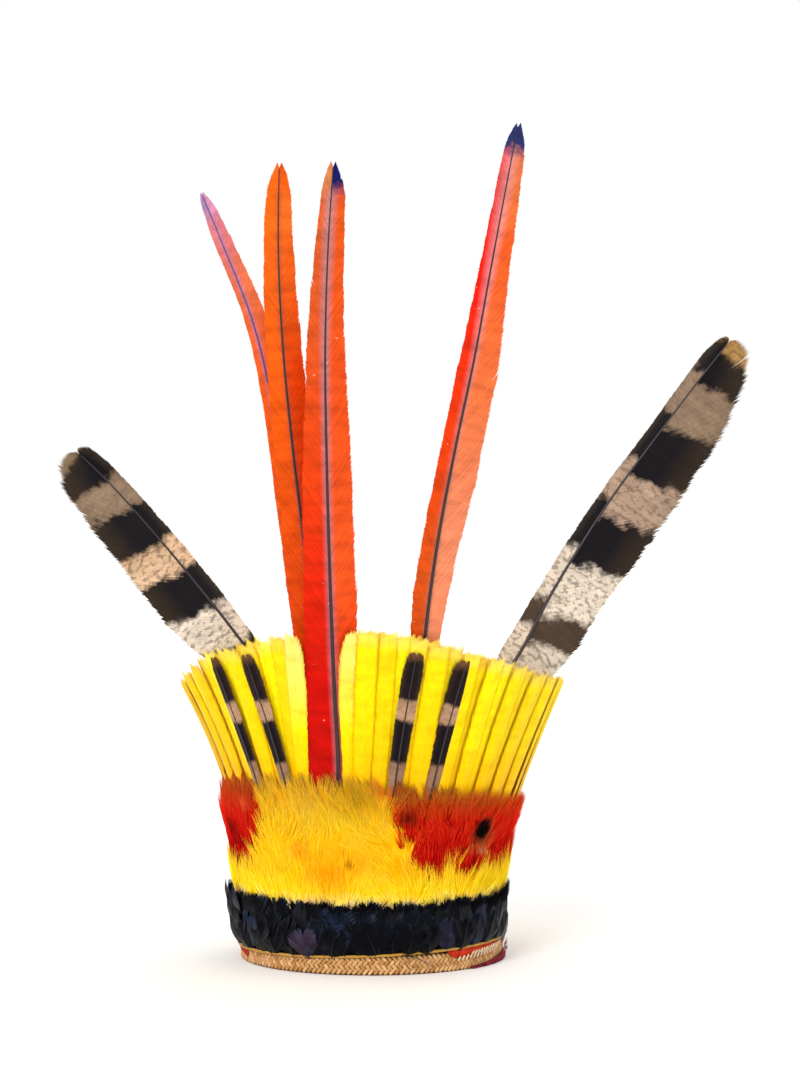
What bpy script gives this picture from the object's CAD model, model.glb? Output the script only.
"""A feather crown that stands on its plaited straw rim, in soft studio light.

Sizes in this file are millimetres until spot(), polar() or MM makes them metres. An azimuth is in
degrees round the rim's axis, from the front of the crown towards the viewer's right."""
import math
import random

import bpy
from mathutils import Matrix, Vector


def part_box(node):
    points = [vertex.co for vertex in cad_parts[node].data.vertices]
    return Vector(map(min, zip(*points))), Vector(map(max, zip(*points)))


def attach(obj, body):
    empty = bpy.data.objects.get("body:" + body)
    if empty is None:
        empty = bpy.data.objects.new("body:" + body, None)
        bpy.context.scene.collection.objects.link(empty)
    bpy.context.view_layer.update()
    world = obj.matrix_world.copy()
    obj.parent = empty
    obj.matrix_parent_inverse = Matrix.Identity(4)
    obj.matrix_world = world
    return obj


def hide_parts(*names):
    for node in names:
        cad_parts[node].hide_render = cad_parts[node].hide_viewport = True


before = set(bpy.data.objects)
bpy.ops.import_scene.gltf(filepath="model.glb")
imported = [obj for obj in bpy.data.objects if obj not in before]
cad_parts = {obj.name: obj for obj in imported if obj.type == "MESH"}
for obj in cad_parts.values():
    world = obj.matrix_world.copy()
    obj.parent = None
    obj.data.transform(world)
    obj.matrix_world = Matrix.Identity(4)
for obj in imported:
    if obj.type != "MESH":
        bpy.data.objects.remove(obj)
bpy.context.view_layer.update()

MM = 0.001
rim_low, rim_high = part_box("straw_braid")
AXIS = Vector(((rim_low[0] + rim_high[0]) / 2, (rim_low[1] + rim_high[1]) / 2, 0))
RIM_RADIUS = round((rim_high[0] - rim_low[0]) / 2 / MM, 3)
BRAID_HEIGHT = round((rim_high[2] - rim_low[2]) / MM, 3)
band_low, band_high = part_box("inner_band")
BAND_RADIUS = round((band_high[0] - band_low[0]) / 2 / MM, 3)
BAND_TOP = round(band_high[2] / MM, 3)

# The tall row stands on a cone, as in the solids: its radius at a height and its lean, the
# thickness of a feather, how far the inner layer lies in, and the height of the feathers' feet.
ROW = {"radius": 93.4, "height": 80, "lean": 0.3825, "blade": 1.2, "layer": 2.0, "foot": 88}
# Degrees from feather to feather of the row, azimuths all the way round for the straw and for the
# plumage, the middle of the row's parting, and how far its tips fan out sideways.
SLOT = 4.5
ALL_ROUND = [i * 3 for i in range(121)]
BED_ROUND = [i * 4 for i in range(91)]
GAP_AZIMUTH = -13.5
FAN = 5
# Tips of the tall row, as (azimuth, height).
TIP_HEIGHTS = [
    (-180, 192), (-90, 193), (-64, 206), (-53, 217), (-39, 224), (-21, 233), (0, 235), (10, 232),
    (26, 221), (40, 213), (53, 205), (90, 195), (180, 192),
]


# Places and lines ---------------------------------------------------------------------------

def spot(x, y, z):
    """A place given in mm from the foot of the rim's axis."""
    return AXIS + Vector((x, y, z)) * MM


def outward(azimuth):
    """The level direction away from the axis at an azimuth."""
    return Vector((math.sin(math.radians(azimuth)), -math.cos(math.radians(azimuth)), 0))


def polar(radius, azimuth, height):
    """A place given by its distance from the axis, its azimuth and its height, in mm."""
    return AXIS + (outward(azimuth) * radius + Vector((0, 0, height))) * MM


def between(table, at):
    """The value at a place in a table of (place, value), in straight lines between its rows."""
    if at <= table[0][0]:
        return table[0][1]
    for (start, low), (end, high) in zip(table, table[1:]):
        if at <= end:
            return low + (high - low) * (at - start) / (end - start)
    return table[-1][1]


def around(azimuth):
    """An azimuth brought to -180 to 180."""
    return (azimuth + 180) % 360 - 180


def curve_through(points, gap):
    """Places about a gap apart along a centripetal Catmull-Rom curve through the points."""
    ends = [points[0] * 2 - points[1]] + list(points) + [points[-1] * 2 - points[-2]]
    fine = []
    for a, b, c, d in zip(ends, ends[1:], ends[2:], ends[3:]):
        knots = [0.0]
        for start, end in ((a, b), (b, c), (c, d)):
            knots.append(knots[-1] + math.sqrt((end - start).length))
        t0, t1, t2, t3 = knots
        steps = max(2, int((c - b).length / gap * 3))
        for i in range(steps):
            t = t1 + (t2 - t1) * i / steps
            ab = a.lerp(b, (t - t0) / (t1 - t0))
            bc = b.lerp(c, (t - t1) / (t2 - t1))
            cd = c.lerp(d, (t - t2) / (t3 - t2))
            left = ab.lerp(bc, (t - t0) / (t2 - t0))
            right = bc.lerp(cd, (t - t1) / (t3 - t1))
            fine.append(left.lerp(right, (t - t1) / (t2 - t1)))
    fine.append(points[-1])
    runs = [0.0]
    for start, end in zip(fine, fine[1:]):
        runs.append(runs[-1] + (end - start).length)
    count = max(3, round(runs[-1] / gap))
    line, at = [], 0
    for i in range(count + 1):
        want = runs[-1] * i / count
        while at < len(fine) - 2 and runs[at + 1] < want:
            at += 1
        share = (want - runs[at]) / (runs[at + 1] - runs[at])
        line.append(fine[at].lerp(fine[at + 1], min(1.0, share)))
    return line


# Nodes and materials ------------------------------------------------------------------------

MATH = "ShaderNodeMath"
VECTOR = "ShaderNodeVectorMath"
MIX = "ShaderNodeMix"
RANGE = "ShaderNodeMapRange"
NOISE = "ShaderNodeTexNoise"
RAMP = "ShaderNodeValToRGB"
READ = "ShaderNodeAttribute"
COMBINE = "ShaderNodeCombineXYZ"
SEPARATE = "ShaderNodeSeparateXYZ"
RANDOM = "FunctionNodeRandomValue"
NAMED = "GeometryNodeInputNamedAttribute"
STORE = "GeometryNodeStoreNamedAttribute"
SHIFT = "GeometryNodeSetPosition"


def add(tree, kind, sockets=None, stops=None, **settings):
    """Adds a node with its settings, and sets or links each of its sockets. A node given as a
    socket's value stands for its first output in use. Stops are a colour ramp's."""
    node = tree.nodes.new(kind)
    for key, value in settings.items():
        setattr(node, key, value)
    if stops:
        elements = node.color_ramp.elements
        elements.remove(elements[1])
        for i, (place, tint) in enumerate(stops):
            element = elements[0] if i == 0 else elements.new(place)
            element.position = place
            element.color = colour(tint)
    for key, value in (sockets or {}).items():
        if isinstance(value, bpy.types.Node):
            value = next(s for s in value.outputs if s.enabled)
        if isinstance(value, bpy.types.NodeSocket):
            tree.links.new(value, node.inputs[key])
        else:
            node.inputs[key].default_value = value
    return node


def colour(code):
    """A linear colour from an sRGB hex number."""
    def linear(byte):
        share = byte / 255
        return share / 12.92 if share <= 0.04045 else ((share + 0.055) / 1.055) ** 2.4
    return (linear(code >> 16), linear(code >> 8 & 255), linear(code & 255), 1.0)


def material(name, **values):
    """A new material, its node tree and its shader, with the shader's own numbers set."""
    made = bpy.data.materials.new(name)
    made.use_nodes = True
    shader = made.node_tree.nodes["Principled BSDF"]
    for key, value in values.items():
        shader.inputs[key.replace("_", " ")].default_value = value
    return made, made.node_tree, shader


def barb_shade(tree, tint, depth, streak_mm=1.6):
    """A feather's colour broken up as its barbs break it: each barb a little lighter or darker,
    and soft streaks that run along the barbs. Depth is how strong that is."""
    strand = add(tree, READ, attribute_name="strand").outputs["Fac"]
    lay = add(tree, READ, attribute_name="lay").outputs["Vector"]
    stretched = add(tree, "ShaderNodeMapping", {"Vector": lay, "Scale": (0.35, 1, 1)})
    streaks = add(tree, NOISE,
                  {"Vector": stretched, "Scale": 1 / (streak_mm * MM * 4), "Detail": 3})
    light = add(tree, RANGE, {"Value": streaks, 1: 0.3, 2: 0.7, 3: 1 - depth, 4: 1 + depth * 0.4})
    each = add(tree, RANGE, {"Value": strand, 3: 1 - depth * 0.6, 4: 1 + depth * 0.3})
    both = add(tree, MATH, {0: light, 1: each}, operation="MULTIPLY")
    return add(tree, VECTOR, {0: tint, "Scale": both}, operation="SCALE")


# Tail feather of a macaw: keratin barbs dyed red and orange by their own pigment, with a faint
# gloss. One vane is redder than the other and a grey-lilac bloom lies along the shaft.
def macaw_vane(name, left, right, tip_left, tip_right, bloom, bloom_share, bloom_end, bloom_mm=1.8,
               widening=1.0):
    """Left and right are the colours of the two vanes by share of the length, and the tips' own
    are apart. Bloom lies along the shaft and turns into bloom_end towards the tip, where it is
    wider by the widening."""
    made, tree, shader = material(name, Roughness=0.5, Specular_IOR_Level=0.05)
    share, cross = (add(tree, READ, attribute_name=name).outputs["Fac"]
                    for name in ("share", "cross"))
    lay = add(tree, READ, attribute_name="lay").outputs["Vector"]
    wander = add(tree, NOISE, {"Vector": lay, "Scale": 1 / (30 * MM), "Detail": 2})
    place = add(tree, MATH, {0: wander, 1: 0.10, 2: -0.05}, operation="MULTIPLY_ADD")
    place = add(tree, MATH, {0: share, 1: place}, operation="ADD")
    one = add(tree, RAMP, {"Fac": place}, stops=left)
    other = add(tree, RAMP, {"Fac": place}, stops=right)
    side = add(tree, MATH, {0: cross, 1: 0.0}, operation="GREATER_THAN")
    vane = add(tree, MIX, {0: side, 6: one, 7: other}, data_type="RGBA")
    tips = add(tree, MIX, {0: side, 6: colour(tip_left), 7: colour(tip_right)}, data_type="RGBA")
    fringe = add(tree, NOISE, {"Vector": lay, "Scale": 1 / (4 * MM), "Detail": 2})
    edge = add(tree, MATH, {0: fringe, 1: 0.03, 2: share}, operation="MULTIPLY_ADD")
    end = add(tree, RANGE, {"Value": edge, 1: 0.966, 2: 0.99})
    across = add(tree, SEPARATE, {0: lay}).outputs["X"]
    apart = add(tree, MATH, {0: across}, operation="ABSOLUTE")
    wider = add(tree, RANGE, {"Value": share, 1: 0.6, 2: 0.95, 3: 1.0, 4: 1 / widening})
    apart = add(tree, MATH, {0: apart, 1: wider}, operation="MULTIPLY")
    near = add(tree, RANGE,
               {"Value": apart, 1: 0.3 * MM, 2: bloom_mm * 2 * MM, 3: bloom_share, 4: 0.0})
    upper = add(tree, RANGE, {"Value": share, 1: 0.45, 2: 0.8})
    glow = add(tree, MIX, {0: upper, 6: colour(bloom), 7: colour(bloom_end)}, data_type="RGBA")
    vane = add(tree, MIX, {0: near, 6: vane, 7: glow}, data_type="RGBA")
    vane = add(tree, MIX, {0: end, 6: vane, 7: tips}, data_type="RGBA")
    specks = add(tree, NOISE, {"Vector": lay, "Scale": 1 / (3.5 * MM), "Detail": 1})
    speck = add(tree, RANGE, {"Value": specks, 1: 0.77, 2: 0.8, 3: 0.0, 4: 0.5})
    vane = add(tree, MIX, {0: speck, 6: vane, 7: colour(0xFFD0B0)}, data_type="RGBA")
    tree.links.new(barb_shade(tree, vane, 0.24).outputs[0], shader.inputs["Base Color"])
    return made


# Barred wing or tail feather: brown-black melanin bars between tan ones that are peppered with
# fine brown. The bars' edges follow the barbs, so they are ragged along them.
def barred_vane(name, bars, narrow_shift=0.0, narrow_side=1, slope=0.0, pepper=0.55):
    """Bars are colours by share of the length. On the narrow vane, which lies on the side of the
    sign given, they are shifted, and on the wide one they slope."""
    made, tree, shader = material(name, Roughness=0.5, Specular_IOR_Level=0.09)
    share, cross, strand = (add(tree, READ, attribute_name=name).outputs["Fac"]
                            for name in ("share", "cross", "strand"))
    lay = add(tree, READ, attribute_name="lay").outputs["Vector"]
    ragged = add(tree, NOISE,
                 {"Vector": lay, "Scale": 1 / (12 * MM), "Detail": 4, "Roughness": 0.6})
    shift = add(tree, MATH, {0: ragged, 1: 0.06, 2: -0.03}, operation="MULTIPLY_ADD")
    jag = add(tree, MATH, {0: strand, 1: 0.005, 2: shift}, operation="MULTIPLY_ADD")
    narrow = add(tree, MATH, {0: cross, 1: narrow_side}, operation="MULTIPLY")
    narrow = add(tree, MATH, {0: narrow, 1: 0.0}, operation="GREATER_THAN")
    offset = add(tree, MATH, {0: narrow, 1: narrow_shift, 2: jag}, operation="MULTIPLY_ADD")
    outer = add(tree, MATH, {0: cross, 1: narrow_side}, operation="MULTIPLY")
    outer = add(tree, MATH, {0: outer, 1: 0.0}, operation="MINIMUM")
    square = add(tree, RANGE, {"Value": share, 1: 0.9, 2: 0.99, 3: 1.0, 4: 0.0})
    outer = add(tree, MATH, {0: outer, 1: square}, operation="MULTIPLY")
    place = add(tree, MATH, {0: share, 1: offset}, operation="ADD")
    place = add(tree, MATH, {0: outer, 1: slope, 2: place}, operation="MULTIPLY_ADD")
    banded = add(tree, RAMP, {"Fac": place}, stops=bars)
    along = add(tree, "ShaderNodeMapping", {"Vector": lay, "Scale": (0.6, 1, 1)})
    flecks = add(tree, NOISE, {"Vector": along, "Scale": 1 / (2.8 * MM), "Detail": 3})
    fleck = add(tree, RANGE, {"Value": flecks, 1: 0.5, 2: 0.6, 3: 0.0, 4: pepper})
    pale = add(tree, "ShaderNodeSeparateColor", {0: banded})
    palest = add(tree, RANGE, {"Value": pale.outputs["Red"], 1: 0.12, 2: 0.5})
    fleck = add(tree, MATH, {0: fleck, 1: palest}, operation="MULTIPLY")
    vane = add(tree, MIX, {0: fleck, 6: banded, 7: colour(0x4A3628)}, data_type="RGBA")
    apart = add(tree, MATH, {0: cross}, operation="ABSOLUTE")
    faded = add(tree, RANGE, {"Value": apart, 1: 0.45, 2: 1.0, 3: 0.0, 4: 0.4})
    dark = add(tree, MATH, {0: 1.0, 1: palest}, operation="SUBTRACT")
    faded = add(tree, MATH, {0: faded, 1: dark}, operation="MULTIPLY")
    vane = add(tree, MIX, {0: faded, 6: vane, 7: colour(0x4E3C26)}, data_type="RGBA")
    tree.links.new(barb_shade(tree, vane, 0.22).outputs[0], shader.inputs["Base Color"])
    return made


# Tail feather of an oropendola: clear lemon yellow, smooth and close, a little deeper towards its
# root and along its edges, and bleached in spots at its trimmed end.
def yellow_vane():
    made, tree, shader = material("yellow tail vane", Roughness=0.5, Specular_IOR_Level=0.05)
    share, tone = (add(tree, READ, attribute_name=name).outputs["Fac"]
                   for name in ("share", "tone"))
    lay = add(tree, READ, attribute_name="lay").outputs["Vector"]
    depth = add(tree, RAMP, {"Fac": share}, stops=[
        (0.0, 0xF0A800), (0.35, 0xFFC800), (0.6, 0xFFE400), (0.93, 0xFFEC08), (1.0, 0xFFE860)])
    deeper = add(tree, RANGE, {"Value": tone, 1: 0.1, 2: 1.0, 3: 0.0, 4: 0.8})
    vane = add(tree, MIX, {0: deeper, 6: depth, 7: colour(0xE8A400)}, data_type="RGBA")
    upper = add(tree, RANGE, {"Value": share, 1: 0.55, 2: 0.9})
    bleached = add(tree, RANGE, {"Value": tone, 1: -0.3, 2: 0.0, 3: 0.7, 4: 0.0})
    bleached = add(tree, MATH, {0: bleached, 1: upper}, operation="MULTIPLY")
    vane = add(tree, MIX, {0: bleached, 6: vane, 7: colour(0xF8E480)}, data_type="RGBA")
    blotch = add(tree, NOISE, {"Vector": lay, "Scale": 1 / (12 * MM), "Detail": 2})
    warm = add(tree, RANGE, {"Value": blotch, 1: 0.5, 2: 0.75, 3: 0.0, 4: 0.5})
    vane = add(tree, MIX, {0: warm, 6: vane, 7: colour(0xF5B800)}, data_type="RGBA")
    across = add(tree, SEPARATE, {0: lay}).outputs["X"]
    apart = add(tree, MATH, {0: across}, operation="ABSOLUTE")
    rim = add(tree, RANGE, {"Value": apart, 1: 5.2 * MM, 2: 7.4 * MM, 3: 0.0, 4: 0.55})
    vane = add(tree, MIX, {0: rim, 6: vane, 7: colour(0xD08C00)}, data_type="RGBA")
    tree.links.new(barb_shade(tree, vane, 0.12).outputs[0], shader.inputs["Base Color"])
    return made


# Shaft of a feather: smooth horn, glossier than the vane, paler or darker along its length.
def horn(name, root, end):
    made, tree, shader = material(name, Roughness=0.35, Specular_IOR_Level=0.5)
    share = add(tree, READ, attribute_name="share").outputs["Fac"]
    lay = add(tree, READ, attribute_name="lay").outputs["Vector"]
    ring = add(tree, NOISE, {"Vector": lay, "Scale": 1 / (6 * MM), "Detail": 3})
    place = add(tree, MATH, {0: ring, 1: 0.3, 2: share}, operation="MULTIPLY_ADD")
    tint = add(tree, RAMP, {"Fac": place}, stops=[(0.15, root), (1.15 / 1.3, end)])
    tree.links.new(tint.outputs["Color"], shader.inputs["Base Color"])
    return made


# Geometry Nodes -----------------------------------------------------------------------------

# No barb is shorter than this, and a barb's length is a number of such steps.
SHORTEST_BARB = 0.8


def new_tree(name, inputs):
    """A geometry tree with a geometry input and output and the named inputs."""
    tree = bpy.data.node_groups.new(name, "GeometryNodeTree")
    tree.interface.new_socket("Geometry", in_out="INPUT", socket_type="NodeSocketGeometry")
    for label, kind in inputs.items():
        tree.interface.new_socket(label, in_out="INPUT", socket_type="NodeSocket" + kind)
    tree.interface.new_socket("Geometry", in_out="OUTPUT", socket_type="NodeSocketGeometry")
    return tree, add(tree, "NodeGroupInput").outputs


def spike(tree, segments, blunt, crowding=1.0):
    """One barb: a closed three-sided blade of unit length along X, its ridge along +Z. Blunt is
    how full it stays towards its end, crowding how close its last segments lie to that end, and
    the attribute u runs from 0 to 1 along it."""
    tube = add(tree, "GeometryNodeMeshCylinder", {
        "Vertices": 3, "Side Segments": segments, "Radius": 1.0, "Depth": 1.0}, fill_type="NGON")
    at = add(tree, SEPARATE, {0: add(tree, "GeometryNodeInputPosition")})
    rest = add(tree, MATH, {0: 0.5, 1: at.outputs["Z"]}, operation="SUBTRACT")
    rest = add(tree, MATH, {0: rest, 1: crowding}, operation="POWER")
    u = add(tree, MATH, {0: 1.0, 1: rest}, operation="SUBTRACT")
    thinning = add(tree, MATH, {0: u, 1: blunt}, operation="POWER")
    taper = add(tree, MATH, {0: thinning, 1: -0.85, 2: 1.0}, operation="MULTIPLY_ADD")
    wide = add(tree, MATH, {0: at.outputs["Y"], 1: -1 / math.sqrt(3)}, operation="MULTIPLY")
    high = add(tree, MATH, {0: at.outputs["X"], 1: 1 / 1.5}, operation="MULTIPLY")
    wide = add(tree, MATH, {0: wide, 1: taper}, operation="MULTIPLY")
    high = add(tree, MATH, {0: high, 1: taper}, operation="MULTIPLY")
    place = add(tree, COMBINE, {0: u, 1: wide, 2: high})
    blade = add(tree, SHIFT, {"Geometry": tube.outputs["Mesh"], "Position": place})
    along = add(tree, SEPARATE, {0: add(tree, "GeometryNodeInputPosition")})
    return add(tree, STORE, {"Geometry": blade, "Name": "u", "Value": along.outputs["X"]})


# How far a feather's tone shifts its groups of barbs, so that each feather parts elsewhere.
GROUPS_APART = 97.0


def feather_tree():
    """Barbs on both sides of each shaft of the input, which holds the shafts as lines of edges.
    The shafts' points carry the widths, the angle of the barbs and the ways the feather faces."""
    tree, given = new_tree("feather", {
        "Pitch": "Float", "Segments": "Int", "Blunt": "Float", "Crowding": "Float",
        "Overlap": "Float", "Thickness": "Float", "Curl": "Float", "Droop": "Float",
        "Roof": "Float", "Shingle": "Float", "Split": "Float", "Split Length": "Float",
        "Jitter": "Float", "Ragged": "Float", "Seed": "Int", "Vane": "Material",
        "Shaft": "Material",
    })
    barb = spike(tree, given["Segments"], given["Blunt"], given["Crowding"])
    shafts = add(tree, "GeometryNodeMeshToCurve", {"Mesh": given["Geometry"]})
    points = add(tree, "GeometryNodeCurveToPoints", {"Curve": shafts, "Length": given["Pitch"]},
                 mode="LENGTH")
    tangent = points.outputs["Tangent"]
    across, face, bent = (add(tree, NAMED, {"Name": name}, data_type="FLOAT_VECTOR")
                          for name in ("across", "face", "tangent"))
    run, tone, length, quill, slant = (
        add(tree, NAMED, {"Name": name}) for name in ("run", "tone", "length", "quill", "angle"))
    both = add(tree, "GeometryNodeJoinGeometry")
    for number, (side, label) in enumerate(((-1, "left"), (1, "right"))):
        # Neighbouring barbs cling together in groups, which part a little from each other.
        reach = add(tree, NAMED, {"Name": label})
        group = add(tree, MATH, {0: run, 1: given["Split Length"]}, operation="DIVIDE")
        group = add(tree, MATH, {0: tone, 1: GROUPS_APART, 2: group}, operation="MULTIPLY_ADD")
        group = add(tree, MATH, {0: group, 1: number * 0.5}, operation="ADD")
        group = add(tree, MATH, {0: group}, operation="FLOOR")
        seed = add(tree, MATH, {0: given["Seed"], 1: number}, operation="ADD")
        parted = add(tree, RANDOM, {2: -1.0, 3: 1.0, 7: group, 8: seed})
        loose = add(tree, RANDOM, {2: -1.0, 3: 1.0, 8: seed})
        other_seed = add(tree, MATH, {0: seed, 1: 7.0})
        short = add(tree, RANDOM, {2: -1.0, 3: 0.3, 8: other_seed})
        other_seed = add(tree, MATH, {0: seed, 1: 13.0})
        strand = add(tree, RANDOM, {2: 0.0, 3: 1.0, 8: other_seed})
        angle = add(tree, MATH, {0: parted, 1: given["Split"], 2: slant},
                    operation="MULTIPLY_ADD")
        angle = add(tree, MATH, {0: loose, 1: given["Jitter"], 2: angle}, operation="MULTIPLY_ADD")
        sine = add(tree, MATH, {0: angle}, operation="SINE")
        cosine = add(tree, MATH, {0: angle}, operation="COSINE")
        uneven = add(tree, MATH, {0: short, 1: given["Ragged"], 2: 1.0}, operation="MULTIPLY_ADD")
        far_enough = add(tree, "FunctionNodeCompare", {0: reach, 1: SHORTEST_BARB * MM},
                         operation="GREATER_THAN")
        reach = add(tree, MATH, {0: reach, 1: uneven}, operation="MULTIPLY")
        out = add(tree, MATH, {0: sine, 1: float(side)}, operation="MULTIPLY")
        out = add(tree, VECTOR, {0: across, "Scale": out}, operation="SCALE")
        ahead = add(tree, VECTOR, {0: tangent, "Scale": cosine}, operation="SCALE")
        back = add(tree, VECTOR, {0: face, "Scale": given["Roof"]}, operation="SCALE")
        way = add(tree, VECTOR, {0: out, 1: ahead}, operation="ADD")
        way = add(tree, VECTOR, {0: way, 1: back}, operation="SUBTRACT")
        lean = add(tree, VECTOR, {0: tangent, "Scale": given["Shingle"]}, operation="SCALE")
        upper = add(tree, VECTOR, {0: face, 1: lean}, operation="ADD")
        spin = add(tree, "FunctionNodeAxesToRotation", {0: way, 1: upper}, primary_axis="X",
                   secondary_axis="Z")
        apart = add(tree, MATH, {0: given["Pitch"], 1: sine}, operation="MULTIPLY")
        apart = add(tree, MATH, {0: apart, 1: given["Overlap"]}, operation="MULTIPLY")
        size = add(tree, COMBINE, {0: reach, 1: apart, 2: given["Thickness"]})
        ready = points.outputs["Points"]
        for name, value in (("reach", reach), ("side", float(side)), ("strand", strand),
                            ("forward", cosine), ("sideways", sine)):
            ready = add(tree, STORE, {"Geometry": ready, "Name": name, "Value": value})
        ready = add(tree, STORE, {"Geometry": ready, "Name": "tangent", "Value": tangent},
                    data_type="FLOAT_VECTOR")
        placed = add(tree, "GeometryNodeInstanceOnPoints", {
            "Points": ready, "Selection": far_enough, "Instance": barb, "Rotation": spin,
            "Scale": size})
        tree.links.new(placed.outputs[0], both.inputs[0])
    vane = add(tree, "GeometryNodeRealizeInstances", {0: both})
    # Barbs curl towards the tip and droop backwards, the more the further out they reach.
    u, reach, side, forward, sideways = (
        add(tree, NAMED, {"Name": name}) for name in ("u", "reach", "side", "forward", "sideways"))
    bend = add(tree, MATH, {0: u, 1: u}, operation="MULTIPLY")
    bend = add(tree, MATH, {0: bend, 1: reach}, operation="MULTIPLY")
    curled = add(tree, MATH, {0: bend, 1: given["Curl"]}, operation="MULTIPLY")
    curl = add(tree, VECTOR, {0: bent, "Scale": curled}, operation="SCALE")
    droop = add(tree, MATH, {0: bend, 1: given["Droop"]}, operation="MULTIPLY")
    droop = add(tree, VECTOR, {0: face, "Scale": droop}, operation="SCALE")
    move = add(tree, VECTOR, {0: curl, 1: droop}, operation="SUBTRACT")
    vane = add(tree, SHIFT, {"Geometry": vane, "Offset": move})
    out = add(tree, MATH, {0: reach, 1: u}, operation="MULTIPLY")
    ahead = add(tree, MATH, {0: out, 1: forward, 2: run}, operation="MULTIPLY_ADD")
    ahead = add(tree, MATH, {0: ahead, 1: curled}, operation="ADD")
    aside = add(tree, MATH, {0: out, 1: sideways}, operation="MULTIPLY")
    aside = add(tree, MATH, {0: aside, 1: side}, operation="MULTIPLY")
    cross = add(tree, MATH, {0: u, 1: side}, operation="MULTIPLY")
    share = add(tree, MATH, {0: ahead, 1: length}, operation="DIVIDE")
    far = add(tree, MATH, {0: tone, 1: 3.0}, operation="MULTIPLY")
    lay = add(tree, COMBINE, {0: aside, 1: ahead, 2: far})
    vane = add(tree, STORE, {"Geometry": vane, "Name": "lay", "Value": lay},
               data_type="FLOAT_VECTOR")
    vane = add(tree, STORE, {"Geometry": vane, "Name": "cross", "Value": cross})
    vane = add(tree, STORE, {"Geometry": vane, "Name": "share", "Value": share})
    vane = add(tree, "GeometryNodeSetMaterial", {"Geometry": vane, "Material": given["Vane"]})
    ring = add(tree, "GeometryNodeCurvePrimitiveCircle", {"Resolution": 6, "Radius": 1.0})
    thick = add(tree, "GeometryNodeSetCurveRadius", {"Curve": shafts, "Radius": quill})
    rod = add(tree, "GeometryNodeCurveToMesh", {
        "Curve": thick, "Profile Curve": ring, "Scale": quill, "Fill Caps": True})
    share = add(tree, MATH, {0: run, 1: length}, operation="DIVIDE")
    lay = add(tree, COMBINE, {1: run, 2: far})
    rod = add(tree, STORE, {"Geometry": rod, "Name": "lay", "Value": lay}, data_type="FLOAT_VECTOR")
    rod = add(tree, STORE, {"Geometry": rod, "Name": "share", "Value": share})
    rod = add(tree, "GeometryNodeSetShadeSmooth", {"Geometry": rod})
    rod = add(tree, "GeometryNodeSetMaterial", {"Geometry": rod, "Material": given["Shaft"]})
    whole = add(tree, "GeometryNodeJoinGeometry", {0: vane})
    tree.links.new(rod.outputs[0], whole.inputs[0])
    add(tree, "NodeGroupOutput", {0: whole})
    return tree


def carry(mesh, key, values, domain="POINT"):
    """Puts a named number or vector on every point or face of a mesh."""
    vectors = isinstance(values[0], Vector)
    flat = [number for value in values for number in value] if vectors else values
    made = mesh.attributes.new(key, "FLOAT_VECTOR" if vectors else "FLOAT", domain)
    made.data.foreach_set("vector" if vectors else "value", flat)


def grown(name, mesh, tree, inputs):
    """A plain mesh object: what a geometry tree makes of a mesh, with the modifier gone again."""
    seedbed = bpy.data.objects.new(name + "_seedbed", mesh)
    bpy.context.scene.collection.objects.link(seedbed)
    modifier = seedbed.modifiers.new(tree.name, "NODES")
    modifier.node_group = tree
    sockets = {s.name: s.identifier for s in tree.interface.items_tree if s.in_out == "INPUT"}
    for label, value in inputs.items():
        modifier[sockets[label]] = value
    seedbed.update_tag()
    ready = seedbed.evaluated_get(bpy.context.evaluated_depsgraph_get())
    made = bpy.data.meshes.new_from_object(ready)
    made.name = name
    seedbed.modifiers.clear()
    bpy.data.objects.remove(seedbed)
    piece = bpy.data.objects.new(name, made)
    bpy.context.scene.collection.objects.link(piece)
    return piece


def finished(piece, slot, node):
    """Declares a piece: it rides on the crown, shows in place of its solid and has a finish."""
    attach(piece, "root")
    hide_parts(node)
    return piece


# Feathers -----------------------------------------------------------------------------------

def reach_to(outline, run, length, steep):
    """How far a barb goes from its place on the shaft to the feather's outline, which is a table of
    (share of the length, width in mm)."""
    reach = 0.0
    while run + reach * math.cos(steep) < length:
        share = (run + reach * math.cos(steep)) / length
        if reach * math.sin(steep) >= between(outline, share) * MM:
            break
        reach += SHORTEST_BARB * MM
    return reach


def shaft(points, left, right, facing, bare, short, angle=(40, 10), quill=(1.5, 0.25), tone=0.5,
          gap=5.0, turning=0.7):
    """One feather's shaft as rows of values for its points. Left and right are its outlines. Facing
    is the way its outer face looks, bare the share of it without barbs, and short how much sooner
    than the vane it ends. Angle and quill, the barbs' angle and the shaft's thickness, are given
    at the root and at the tip. From the turning share on, its barbs lie closer to it."""
    line = curve_through(points, gap * MM)
    steps = [0.0] + [(b - a).length for a, b in zip(line, line[1:])]
    length = sum(steps)
    rows, run, done = [], 0.0, False
    for i, point in enumerate(line):
        run += steps[i]
        if run > length - short * MM:
            back = (run - length + short * MM) / steps[i]
            point, run, done = point.lerp(line[i - 1], back), length - short * MM, True
        way = (line[min(i + 1, len(line) - 1)] - line[max(i - 1, 0)]).normalized()
        across = way.cross(facing).normalized()
        share = run / length
        closing = max(0.0, (share - turning) / (1 - turning)) ** 1.4
        steep = math.radians(angle[0] + (angle[1] - angle[0]) * closing)
        reaches = [reach_to(outline, run, length, steep) if share >= bare else 0.0
                   for outline in (left, right)]
        thick = (quill[0] + (quill[1] - quill[0]) * share ** 0.8) * MM
        rows.append({"at": point, "run": run, "length": length, "left": reaches[0],
                     "right": reaches[1], "angle": steep, "quill": thick, "tone": tone,
                     "across": across, "face": across.cross(way).normalized()})
        if done:
            break
    return rows


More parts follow.
